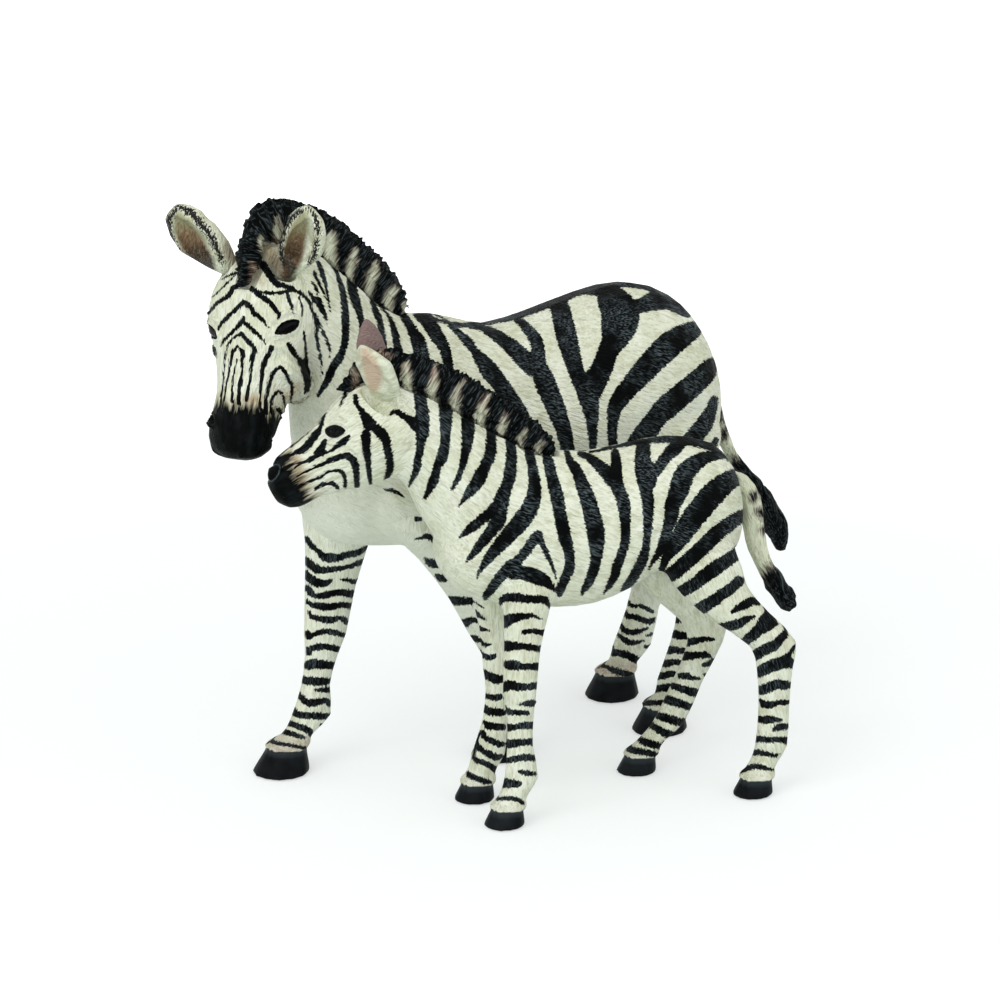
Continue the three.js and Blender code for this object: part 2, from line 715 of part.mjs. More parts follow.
  // Trunk and neck share one outline and part at the cut
  let outline = loft(trunkRows, trunkSides).add(loft(neckRows, trunkSides));
  for (const leg of legs) {
    outline = outline.add(leg.whole);
  }
  const ahead = beyond(neckPoint, neckWay);
  const neckPeg = [
    back(neckPoint, neckWay, -sizes.neckPegLength / 2),
    back(neckPoint, neckWay, sizes.neckPegLength),
  ];
  let neck = outline.intersect(ahead).add(peg(...neckPeg, sizes.neckPegRadius));
  let trunk = outline.subtract(beyond(back(neckPoint, neckWay, jointGap), neckWay));
  trunk = trunk.subtract(peg(...neckPeg, sizes.neckPegRadius, jointGap));
  neck = neck.subtract(headSpace).subtract(headPegSpace).subtract(maneSpace);
  head = head.add(headPeg).subtract(maneSpace);
  for (const leg of legs) {
    trunk = trunk.subtract(leg.space);
    neck = neck.subtract(leg.space);
  }
  trunk = trunk.subtract(tailSpace).subtract(maneSpace);
  for (const piece of Object.values(ears)) {
    head = head.subtract(piece.space);
    neck = neck.subtract(piece.space);
  }
  neck = mainBody(neck);

  const group = new THREE.Group();
  group.add(named(`${prefix}_trunk`, trunk, 'coat'));
  group.add(named(`${prefix}_neck`, neck, 'coat'));
  group.add(named(`${prefix}_head`, head, 'coat'));
  for (const [name, piece] of Object.entries(ears)) {
    group.add(named(`${prefix}_${name}`, piece.solid, 'ear'));
  }
  group.add(named(`${prefix}_mane`, mane, 'mane'));
  for (const leg of legs) {
    group.add(named(`${prefix}_${leg.name}`, leg.solid, 'coat'));
  }
  group.add(named(`${prefix}_tail`, tail, 'tail'));
  return group;
}

// Both figures on one level, the foal at the mare's left shoulder
const mare = figure('mare', mareSizes, mareShape);
const foal = figure('foal', foalSizes, foalShape);
foal.position.set(foalAhead, foalAside, 0);
foal.rotation.z = THREE.MathUtils.degToRad(foalTurn - mareTurn);

const pair = new THREE.Group();
pair.add(mare, foal);
pair.rotation.z = Math.PI + THREE.MathUtils.degToRad(mareTurn);

// The middle of the pair's floor space is the origin
const standing = new THREE.Group();
standing.add(pair);
standing.updateMatrixWorld(true);
const space = new THREE.Box3().setFromObject(standing, true);
const middle = space.getCenter(new THREE.Vector3());
pair.position.set(-middle.x, -middle.y, 0);

export default standing;
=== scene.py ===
# A toy zebra mare with her foal, two plastic figures painted by hand, on a white table.
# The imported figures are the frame. Their coats are closed up over the joints, sculpted and striped
# here, and manes, ears and tails get their strands.

import math

import bpy
import numpy as np
from bpy.props import EnumProperty, FloatProperty, FloatVectorProperty, PointerProperty
from bpy.types import Operator, Panel, PropertyGroup
from mathutils import Matrix, Vector
from mathutils.bvhtree import BVHTree


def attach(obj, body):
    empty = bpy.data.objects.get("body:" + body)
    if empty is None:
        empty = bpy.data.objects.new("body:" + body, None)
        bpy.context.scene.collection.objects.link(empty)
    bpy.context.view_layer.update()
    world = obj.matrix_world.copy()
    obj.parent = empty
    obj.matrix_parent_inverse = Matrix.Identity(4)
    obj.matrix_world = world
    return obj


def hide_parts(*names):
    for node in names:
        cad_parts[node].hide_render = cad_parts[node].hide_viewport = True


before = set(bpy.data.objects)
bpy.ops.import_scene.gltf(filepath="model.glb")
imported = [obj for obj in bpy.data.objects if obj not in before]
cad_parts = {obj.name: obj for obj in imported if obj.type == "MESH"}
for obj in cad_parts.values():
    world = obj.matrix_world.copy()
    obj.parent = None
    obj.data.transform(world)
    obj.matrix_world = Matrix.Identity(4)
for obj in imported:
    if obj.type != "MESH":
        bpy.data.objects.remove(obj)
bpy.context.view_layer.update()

bl_info = {
    "name": "Toy zebra mare and foal",
    "version": (1, 0, 0),
    "blender": (4, 5, 0),
    "location": "View3D > Sidebar > Toy Zebra",
    "description": "Sculpts, stripes and stages a toy zebra mare and her foal",
    "category": "Object",
}

MM = 0.001

# The photograph's camera: it looks along +Y and down. Places and distances are in millimetres,
# the picture's side is in pixels and the elevation in degrees.
PICTURE_SIDE = 1000
CAMERA_TARGET = np.array([0.771, -8.799, 45.0])
CAMERA_DISTANCE = 700.0
CAMERA_ELEVATION = 18.0
CAMERA_LENS = 166.3
CAMERA_SENSOR = 36.0
PIXELS_PER_MM = 6.6
CAMERA_TILT = math.radians(CAMERA_ELEVATION)
CAMERA_RIGHT = np.array([1.0, 0.0, 0.0])
CAMERA_UP = np.array([0.0, math.sin(CAMERA_TILT), math.cos(CAMERA_TILT)])
CAMERA_FORWARD = np.array([0.0, math.cos(CAMERA_TILT), -math.sin(CAMERA_TILT)])
CAMERA_PLACE = CAMERA_TARGET - CAMERA_FORWARD * CAMERA_DISTANCE

# A stroke is read off the photograph: its points are (across, down, half width) in pixels,
# and it is painted round from one to the next, pointed where the half width runs out.
MARE_SIDE_STRIPES = {
    "along the back": [(430, 318, 1.5), (461, 325, 2.5), (485, 322, 3), (520, 315, 3.5), (576, 292.5, 4),
        (598, 286, 4.5), (626, 283, 4.5), (647, 285.5, 5), (661, 292, 6), (680, 306, 5)],
    "saddle line": [(455, 327, .8), (475, 325.5, 1.5), (500, 321, 2), (520, 315, 3.5), (560, 299, 5),
        (580, 291.5, 4), (600, 289, 7)],
    "back, first": [(516, 320, 3), (523, 324, 4.5), (535, 339, 6.5), (538, 350, 7), (538, 360, 8)],
    "back, second": [(470, 327.5, 1.5), (480, 328, 3), (490, 331.5, 5), (508, 344, 7.5), (532, 366, 10)],
    "barrel, middle": [(534, 357, 7), (544, 380, 10.5), (559, 417, 9), (566, 440, 7.5), (572, 480, 6.5),
        (577, 510, 5), (580, 540, 2)],
    "barrel, front": [(443, 318.5, 1), (467, 341, 5), (474, 350, 4.5), (488, 369, 9), (497, 380, 8.5),
        (516, 410, 10), (522, 422, 9), (530, 436, 9), (545, 475, 8), (556, 525, 5), (560, 545, 2)],
    "barrel, rear": [(557, 302, 9.5), (561, 312, 10), (567, 338, 10.5), (577, 374, 8), (583, 385, 9),
        (588, 396, 10.5), (592, 420, 6.5), (593, 452, 3)],
    "flank": [(612, 300, 15), (620, 312, 19), (619, 325, 18), (615, 338, 13.5), (609, 350, 10.5),
        (601, 370, 11), (590, 390, 13)],
    "croup": [(628, 309, 10), (640, 306, 7.5), (660, 299, 11), (670, 301, 9), (680, 309, 6), (688, 315, 3)],
    "croup line": [(600, 287, 2), (622, 282.5, 1.6), (640, 283, 1.4), (655, 287, 3)],
    "haunch, first": [(698, 327, 6), (688, 333, 10.5), (665, 349, 13), (622, 396, 9.5), (613, 418, 6),
        (612.5, 444, 4.5), (612, 465, 2)],
    "haunch, second": [(715, 361, 4), (709, 368, 9), (700, 379, 11), (667, 407, 12), (657, 417, 10.5),
        (634, 450, 11), (618, 480, 6), (613, 495, 2)],
    "haunch, third": [(714, 400, 4.5), (711, 410, 6), (700, 430, 9), (658, 480, 7.5), (645, 497, 6),
        (636, 512, 3)],
    "haunch, fourth": [(716, 440, 3), (708, 455, 6), (695, 470, 8), (662, 505, 7), (642, 534, 2)],
    "haunch, fifth": [(718, 474, 3), (708, 490, 6), (692, 508, 7.5), (674, 525, 7), (660, 538, 3)],
    "shoulder, third": [(432, 313, 1), (420, 313, 6.5), (427, 320, 7.5), (437, 336, 7), (445.5, 352, 5.5),
        (453, 388, 4), (460, 415, 4), (466, 445, 4.5), (472, 470, 5), (475, 495, 4.5), (472, 520, 2)],
    "withers line": [(432, 313, 1.2), (443, 318, 1), (455, 326, 1)],
    "shoulder, second": [(400, 308, 2.5), (404, 316, 4), (414, 333, 5.5), (418, 341, 7.5),
        (420.5, 350, 7.5), (428, 378, 6), (432, 420, 4.5), (428, 470, 3.5), (420, 495, 2)],
    "shoulder, first": [(371.5, 299, 1), (385.6, 311.8, 1.5), (393.3, 327, 3.2), (398, 350, 4.5),
        (403, 390, 4), (402, 415, 3), (397, 440, 1.5)],
    "neck, third": [(359, 281, 1.5), (370.4, 297.6, 2), (376.2, 313, 3.5), (381, 327, 3), (384, 360, 3.5),
        (377, 410, 2.2), (370, 430, 1)],
    "neck, second": [(343, 269.4, 2), (349, 277.6, 2), (351.5, 283.5, 5), (353.3, 293, 4.7),
        (355.6, 301, 5), (360.4, 316.5, 3.4), (363, 335, 4), (358, 380, 3.6), (345, 418, 1.2)],
    "neck, first": [(321.5, 252, .7), (327, 259.4, 1.2), (334, 266.5, 2.5), (337.4, 275, 2),
        (344, 299, 3.5), (345.6, 334, 4), (342.7, 350.6, 3.5), (338.6, 358.8, 4.5), (333.3, 367, 4),
        (328, 378.8, 4), (318, 396, 1.5)],
    "nape, first": [(318, 261.8, 1.5), (320.4, 268, 3), (325.6, 284.7, 1.8), (330.4, 311.8, .5)],
    "nape, second": [(314.5, 270.6, 1.2), (315, 275, 2), (321, 287, 1.5), (326.8, 300, .6)],
    "nape, third": [(312, 281.8, 1), (315.6, 287, 1.8), (318, 293, 1.5)],
    "nape, fourth": [(308.6, 291.8, 1), (313.3, 297.6, 2.5), (318.6, 302.4, 4), (324.5, 314, 2.5),
        (327.4, 325.3, .6)],
    "cheek edge": [(297, 291, 2), (304.5, 296.5, 2), (309.8, 303.5, 1.8), (312, 310.6, 1.5),
        (317.4, 322.4, 3), (316.8, 331.8, 2), (317.4, 341, 2), (321.5, 364.7, 1.2), (322, 375, .5)],
    "cheek edge fork": [(317.4, 322.4, 2.4), (320.4, 326, 1.8), (329.8, 349.4, 1.5), (329, 358.8, .7)],
    "chest dash": [(384, 489, 1), (391, 490.5, 2.2), (398, 493.5, 2), (405, 498, .6)],
    "elbow spot": [(416.5, 519, 3), (420, 519, 2)],
}

MARE_HEAD_STRIPES = {
    "cheek, rear": [(304, 331.8, 1), (306.2, 357.6, 2), (304.5, 364.7, 4.5), (307.4, 381, 3.8),
        (306.8, 389.4, 2.8), (304.5, 393.5, 1)],
    "cheek, front": [(289, 344.7, 2.5), (292.7, 351.8, 3), (297.4, 357.6, 2.5), (302, 363.5, 4)],
    "temple, first": [(287.4, 295.3, 2), (290.4, 303.5, 1.8), (293.3, 313, .8)],
    "temple, second": [(299, 297.6, 1), (301.5, 304.7, 1), (302.5, 316.5, .4)],
    "poll, first": [(237.7, 272.7, 1.8), (227.3, 276, 1), (222.4, 279.6, .8)],
    "poll, second": [(236, 274, 1), (228, 282.4, 1), (212.7, 297, .6)],
    "right brow": [(241.8, 283, 2), (233.5, 288, 2.5), (228, 296.3, 2.5), (218, 302.5, 2),
        (207.8, 313.6, 1.5)],
    "upper chevron, left limb": [(244, 301.8, 2.5), (222.4, 322.7, 2.2), (218.2, 329.6, 1)],
    "upper chevron, right limb": [(244, 301.8, 2.5), (249.5, 306, 3), (254.3, 313, 2.5),
        (261.3, 318.5, 2.3), (268.2, 327.5, 1)],
    "middle chevron, left limb": [(243.2, 317, 1), (242.5, 320.6, 2.5), (236.3, 328.2, 2),
        (223.8, 340.7, 1.5), (221.3, 346.3, .6)],
    "middle chevron, right limb": [(242.5, 320.6, 2.5), (259.9, 336.6, 1.8), (265.4, 344, .6)],
    "long chevron, left limb": [(241, 333.8, 2), (234.9, 337, 1.5), (229.3, 342.8, 1.3), (225.9, 351.8, 1),
        (223.8, 378, .8), (220.3, 403, 1)],
    "long chevron, right limb": [(241, 333.8, 2), (250.9, 344, 2.5), (255, 350.4, 2.5), (252.3, 357.4, 2.5),
        (250.2, 378, 1.3), (246, 400.4, 2)],
    "inner chevron, left limb": [(237.7, 346.3, 1.5), (232.8, 352.5, 2), (229.3, 371.3, 1.3),
        (225.2, 390.7, 1), (224.5, 400.4, 1)],
    "inner chevron, right limb": [(237.7, 346.3, 1.5), (243.2, 353.2, 2.5), (241.8, 361.5, 1.8),
        (242.5, 371.3, 1.8), (239, 392, 2), (239, 403, 2.2)],
    "nose line": [(237, 360, .8), (232.4, 381, 1.2), (232.4, 401.8, 1.5)],
    "nose side": [(271.7, 347.7, 2.5), (264, 363, 2.8), (262.4, 371.3, 2.5), (260.2, 393.5, 1.5),
        (260.2, 406, 1.8), (262.7, 415.7, 2)],
    "outer loop, left limb": [(280, 367, 1.8), (275.2, 370.6, 2), (271, 378, 2), (266, 400.4, 2),
        (266, 413, 2.5)],
    "outer loop, right limb": [(280, 367, 1.8), (284.9, 371.3, 2), (288.4, 379.6, 2), (291.8, 386.6, 2),
        (290.4, 404, .8)],
    "inner loop, left limb": [(278, 391.4, 1.5), (273.8, 396.3, 1.8), (271, 403.2, 1.8), (271, 413, 2)],
    "inner loop, right limb": [(278, 391.4, 1.5), (282.8, 394.9, 1.5), (285.6, 410, 1)],
    "left brow": [(252.3, 289.3, 3), (258.5, 292, 2), (279.3, 292.8, 1.8), (293.2, 289.3, 2.5)],
    "left brow, lower": [(254.3, 290, 3), (262.7, 297.7, 3), (269.6, 301.8, 2.5), (275.2, 310, 2.3),
        (279.3, 314.3, 2), (278, 319.2, 1)],
    "ear base": [(262.7, 264.3, 4), (275.2, 282.4, 3.5), (284.9, 285.9, 3), (301.5, 293.5, 2)],
    "under right eye": [(213, 346, .8), (214.5, 351, 2), (215.5, 358, .8)],
    "jaw line": [(286.3, 417, .8), (291.8, 431.7, .6)],
}

MARE_LEG_STRIPES = {
    "foreleg_right": {
        "ring 1": [(306, 539, 3), (312, 546, 3), (318, 551, 2.5), (323, 556, 4), (330, 558, 5),
            (338, 557.5, 4), (348, 554.5, 3.5), (358, 552.5, 3.5), (371, 545, 1.5)],
        "ring 2": [(305.5, 560, 4), (316, 569, 4.5), (325, 570, 3.5), (345, 567.5, 2.5), (362, 562, 3),
            (366, 561, 2)],
        "ring 3, left": [(306, 574, 4), (311, 579, 4.5), (318, 583, 4.5), (325, 583, 3.5), (334, 579, .5)],
        "ring 3, right": [(342, 579.5, 1.5), (348, 580, 2), (354, 582, 2.5), (357, 580, 1.5)],
        "ring 4": [(307, 588, 3), (311, 593, 3.5), (316, 596, 2.5), (322, 596, 3.5), (338, 592.5, 3.5),
            (352, 594, 4)],
        "ring 5": [(307, 600, 1), (309.5, 603.5, 2.5), (325, 607, 4), (343, 605, 3), (350, 606, 3.5)],
        "ring 6": [(309.5, 612, 2), (312, 617, 2.5), (330, 620, 4), (338, 618, 2.5), (344, 620, 3.5),
            (346.5, 622, 3)],
        "ring 7": [(307.5, 633, 3), (309, 637, 3), (314, 634.5, 2.5), (322, 632, 3), (332, 632, 3),
            (345, 635.5, 2.5)],
        "ring 8": [(307.5, 648, 1.5), (309, 653, 3), (311, 649, 3), (318, 647, 3.5), (328, 647, 3.5),
            (343, 651, 3), (341, 654, 2)],
        "ring 9": [(308.5, 665, 5), (315, 664, 5), (336, 666, 4)],
        "ring 10": [(304, 679, 3.5), (308, 681, 4.5), (325, 681.5, 4), (332, 680, 2)],
        "ring 10, lower": [(315, 690, 1.5), (327, 690, 3), (331, 689.5, 3)],
        "ring 11": [(298.5, 694, 3), (306, 702, 3.5), (312, 703, 4), (325, 700.5, 3), (328.5, 703, 3),
            (330, 706, 2)],
        "ring 12": [(291, 709, 4), (300, 715, 3.5), (327, 716.5, 3.5), (332, 718, 3)],
        "ring 13": [(284, 720, 2), (288, 722.5, 3), (303, 728, 3.5), (309, 731, 3.5), (311, 735, 2.5)],
        "fetlock spot": [(321.5, 725, 2), (323, 728, 2.5)],
        "ring 14": [(274.5, 732, 2), (278, 729, 3), (284, 731.5, 3), (300, 736.5, 2.5),
            (304.5, 737.5, 1.5)],
        "ring 15": [(267, 741, 3), (270, 740, 3), (276, 743, 2.2), (292, 745.5, 2), (307, 749, 2),
            (311, 752, 1.5)],
    },
    "foreleg_left": {
        "ring 1": [(415, 539, .8), (420, 538.5, 1.5), (428, 536.5, 3), (439.5, 545, 1.2)],
        "ring 2": [(425, 559, 1.5), (431, 563, 4.5), (440, 563.5, 5), (446, 565, 3), (455, 566, 3),
            (470, 564, 1.5)],
        "ring 3": [(436, 575, 1.5), (441, 578, 4), (447, 577.5, 4), (452, 575.5, 2.5), (460, 577, 3),
            (474, 580, 1.5)],
        "ring 4": [(449, 597, 1.5), (454, 600.5, 4.5), (467, 601, 4), (480, 600, 3)],
        "ring 5": [(456, 620, 2), (461, 624, 5), (467, 622.5, 4.5), (471, 620, 3), (484, 622, 3)],
        "ring 6": [(464, 636, 1.5), (469, 638.5, 3), (475, 638, 3), (477, 640, 2.5), (488, 640, 3)],
        "ring 7": [(471.5, 648, 1.5), (475.5, 650, 3.5), (478.5, 652, 2.5), (490, 654, 3)],
        "ring 8": [(477, 661, 1.5), (479, 663, 1), (492, 665, 3), (500, 666, 2)],
        "ring 9": [(476, 678, 3), (486, 680, 3.5), (500, 679, 3)],
        "ring 10": [(478, 693, 2), (490, 695, 3.5), (504, 693, 3)],
        "ring 11": [(480, 706, 3), (492, 708, 3), (506, 708, 3)],
        "ring 12": [(482, 720, 3), (494, 723, 3), (508, 722, 3)],
        "ring 13": [(484, 733, 2.5), (496, 736, 2.5), (512, 735, 2)],
    },
    "hindleg_left": {
        "ring 1": [(616, 505, 3), (632, 520, 5), (650, 528, 5.5), (672, 520, 4)],
        "ring 2": [(622, 535, 3), (640, 548, 5), (660, 552, 5), (684, 543, 4)],
        "ring 3": [(630, 566, 3), (648, 576, 5), (668, 578, 5), (690, 570, 4)],
        "ring 4": [(640, 592, 3), (656, 600, 4.5), (674, 601, 4.5), (694, 596, 4)],
        "ring 5": [(650, 612, 2), (664, 618, 4), (680, 619, 4), (698, 614, 3)],
        "ring 6": [(668, 638, 2), (672, 634, 4), (684, 636, 4), (698, 632, 3)],
        "ring 7": [(662, 652, 2), (666, 650, 4.5), (677, 650, 3.5), (692, 652, 3.5)],
        "ring 8": [(657, 665, 2), (662, 663.5, 4), (668, 663.5, 4), (676, 662, 3), (688, 665, 3.5)],
        "ring 9": [(652, 679, 2), (658, 676, 4), (665, 675.5, 3.5), (672, 674, 3.5), (684, 677, 3)],
        "ring 10": [(647, 693, 1.5), (653, 690, 3.5), (668, 687.5, 4), (682, 692, 3)],
        "ring 11": [(641, 705, 1.5), (648, 703, 3), (660, 703, 3), (674, 706, 3)],
    },
    "hindleg_right": {
        "ring 1": [(606, 505, 3), (622, 518, 5), (642, 524, 5.5), (664, 516, 4)],
        "ring 2": [(610, 535, 3), (630, 546, 5), (650, 548, 5), (674, 540, 4)],
        "ring 3": [(620, 562, 3), (638, 572, 5), (658, 574, 5), (680, 566, 4)],
        "ring 4": [(627.5, 601, 2), (630, 605, 2), (635, 606.5, 1.8), (641, 606, 2.2), (653, 612, 1.8)],
        "ring 5": [(625.5, 612, 2.5), (628, 616.5, 3), (635, 617, 3), (649, 621.5, 3), (653, 620, 3)],
        "ring 6": [(621, 625, 2.5), (624, 630, 3), (631, 632.5, 3), (638, 631.5, 3), (649, 627.5, .8)],
        "ring 7": [(617, 634, 2), (627, 641.5, 3), (634, 643, 2.5), (645, 640.5, .8)],
        "heel spot, upper": [(647, 635.5, 1.5), (652, 634, 2)],
        "heel spot, lower": [(646, 647, 2), (651, 646.5, 3)],
        "ring 8": [(611.5, 647, 2.5), (613, 652, 4), (619, 653, 3.5), (626, 655, 4), (637, 660, 4)],
        "ring 9": [(598, 667, 1.5), (602, 665.5, 2), (609, 668, 2), (616, 671, 3.5), (638, 677, 3)],
    },
}

FOAL_HEAD_STRIPES = {
    "brow": [(332.9, 402, 1.5), (326, 411, 1.5), (319.6, 428.9, 2.5), (315, 435.6, 4), (305, 447.8, 4),
        (291.8, 454.4, 2), (285, 457.8, 2.5)],
    "profile line": [(319.6, 420, .5), (310.7, 430, .6), (290.7, 446.7, .8)],
    "under eye, front": [(325, 441.7, 2.5), (321.8, 447.8, 3.5), (317.3, 453, 4)],
    "under eye, long": [(349, 436.7, 1.5), (344, 441, 3.5), (330.7, 451, 1.5), (324, 453, 2.5),
        (315, 456.7, 3), (308.4, 461, 2), (301.8, 463, 1.5), (295, 467, 1.5)],
    "cheek, upper": [(357, 485.6, 3), (355.7, 467.8, 3.5), (351.8, 458.9, 4), (339.6, 456.7, 3),
        (297.3, 476, 1)],
    "cheek, middle": [(345, 486.7, 2), (345, 478.9, 2), (341.8, 472, 2), (335, 470.6, 1.5),
        (327.3, 472.8, 1.5), (319.6, 477.8, 1.8), (306.8, 482, .8)],
    "cheek, lower": [(338.4, 488.9, 1.5), (334, 484.4, 2.5), (329.6, 483.3, 2), (321.8, 485, 2),
        (315, 488.9, 1.5)],
    "forelock root": [(355.3, 396.5, 2.5), (357, 404.7, 2.5), (361.2, 410.6, 3), (370, 424.7, 7)],
    "jaw, front": [(366.5, 434, 5), (365.9, 442.4, 4.7), (370.6, 483.5, 2)],
    "jaw, rear": [(377, 429.4, 5.5), (383, 435.3, 5.5), (386.5, 443.5, 4.5), (390, 463.5, 4),
        (388.8, 473, 3.5), (385.3, 478.8, 1.5)],
    "brow dash": [(348.8, 390.6, 2), (344, 397.6, 1.8), (340, 405.9, .8)],
}

FOAL_SIDE_STRIPES = {
    "along the back": [(590, 452, 1.5), (625, 444, 3), (663, 439, 4), (707, 445, 5), (738, 462, 5),
        (752, 480, 2)],
    "nape": [(390.6, 414, 1.5), (395.9, 411.8, 2.5), (410, 420, 4.5), (417, 424.7, 7)],
    "neck, first": [(420.6, 382.4, 6.5), (420.6, 403.5, 6.5), (422.4, 413, 7), (422.4, 431.8, 7),
        (421, 441, 5), (420, 450.6, 4), (417.6, 460, 4), (416.5, 469.4, 4), (408.8, 486.5, 1)],
    "neck, second": [(442, 390.6, 5.5), (446, 411, 7), (445.3, 434, 5.3), (444.7, 446, 5.3),
        (441.8, 457.6, 5.8), (437, 467, 4.2), (435, 476.5, 5), (431.7, 484.7, 4.7), (425, 498, 2)],
    "neck, third": [(466.5, 410, 6.5), (468, 421, 7), (467.6, 440, 6), (462, 467.5, 3.3),
        (455.6, 482.5, 2.8), (451.9, 489, 1.8)],
    "neck, fourth": [(490, 420, 3.5), (491, 450, 6), (485, 466, 5.8), (477, 482, 7), (459, 506, 1)],
    "shoulder, first": [(510.5, 441, 5), (511.3, 461, 5.8), (509.5, 477, 6.5), (507, 485, 6),
        (501.5, 500, 8), (500, 508, 8), (500, 515, 7), (497, 523, 7), (477, 549, 4.5), (466, 562, 1)],
    "shoulder, fork": [(497, 507, 7), (488, 515, 5.5), (471, 528, 5), (459, 538, 1)],
    "shoulder, second": [(527, 447, 3), (530, 457, 5), (532, 466, 4.8), (534.5, 486, 6.5), (531, 506, 8.5),
        (517, 526, 9), (491, 555, 5.5), (480, 571, 2), (477, 578, 1)],
    "barrel, first": [(546, 450, 3), (547, 458, 4.8), (550, 468, 6), (551.5, 476, 6), (557, 496, 7),
        (558.5, 506, 6.5), (565, 538, 6.7), (568, 548, 5.5), (570, 558, 5.2), (569, 569, 5.2),
        (561, 588, 4.8), (559, 595, 2.5)],
    "barrel, second": [(567, 452, 3), (570, 461, 4), (576, 470, 5.5), (587, 497, 8), (596, 533, 9),
        (596, 560, 5.8), (590.5, 578.5, 5), (585, 587.6, 3.8), (582, 594, 1.5)],
    "back fork": [(580, 454, 3), (590, 458, 4.5), (606, 472, 7), (614, 482, 7)],
    "barrel, third": [(615, 452, 4), (616, 462, 5.5), (617, 484.5, 6.8), (623.6, 502.7, 6.8),
        (625.5, 530, 5), (623.7, 548, 4.7), (617, 566.4, 5), (614.6, 575.5, 4.5), (609.7, 584.5, 3.5),
        (604, 593, 1)],
    "back line": [(597, 451, 1.5), (628, 444, 1.5), (640, 437, 2), (672, 435.5, 1.5)],
    "flank": [(643, 445, 7), (643, 463, 9), (646, 472, 11), (647, 480, 10), (646, 488, 7),
        (648.5, 509, 5.8), (646.5, 542, 3.8), (642.5, 560, 5.5), (632.5, 578.5, 5), (626.5, 586, 4),
        (621, 591, 1)],
    "flank arm": [(682, 443, 5), (674, 449, 7), (667, 456, 6), (655, 472, 6)],
    "haunch, first": [(724, 455, 4), (704, 458, 7), (686, 472, 10), (679, 490, 10), (672.5, 506, 8),
        (671.5, 515, 7.5), (666.5, 533, 5.3), (660, 551, 4.5), (652, 563, 2), (649, 569, 1)],
    "haunch, second": [(748, 478, 5), (740, 477, 8), (730, 480, 10), (713, 494, 12), (691, 521, 11.5),
        (678, 541, 9), (671, 550, 7), (665.5, 559, 4.5), (661, 573, 3)],
    "haunch, third": [(745, 515, 6.5), (735, 520, 7), (715, 535, 8), (699, 551, 8), (672, 574, 7.5),
        (664, 578, 5.5), (659, 575, 2)],
    "thigh, first": [(742, 550, 7), (732, 557, 6.5), (713, 570, 7.5), (694, 584, 6.5), (675, 595, 5.5),
        (667, 594, 1.5)],
    "thigh, second": [(739, 581, 5.5), (730, 589, 5.5), (703, 607.5, 6.5), (694, 611, 5.5), (686, 609, 2)],
    "thigh, third": [(732, 612, 1.5), (738, 608, 3.5), (745, 605, 4.5), (752, 601, 4.5), (758, 603, 3)],
    "thigh, fourth": [(707, 624, .8), (714, 627, 2.5), (722, 627.5, 4.5), (738, 624, 5), (745, 620, 4),
        (754, 616.5, 1.5)],
    "elbow, left arm": [(538, 531.7, 2), (535, 538, 5), (523.8, 554, 5), (515.9, 562, 5), (508, 568, 6),
        (493.7, 585.7, 5), (486.5, 595, 4), (485, 599, 2)],
    "elbow, right arm": [(539.7, 533, 2.5), (542, 543, 3), (552.4, 566.7, 2), (556, 578.6, .8)],
    "elbow bar": [(514, 571, 9), (524, 573, 7.5), (534, 576, 8), (543, 580, 6.5), (550, 585, 4),
        (554, 590, 1.5)],
}

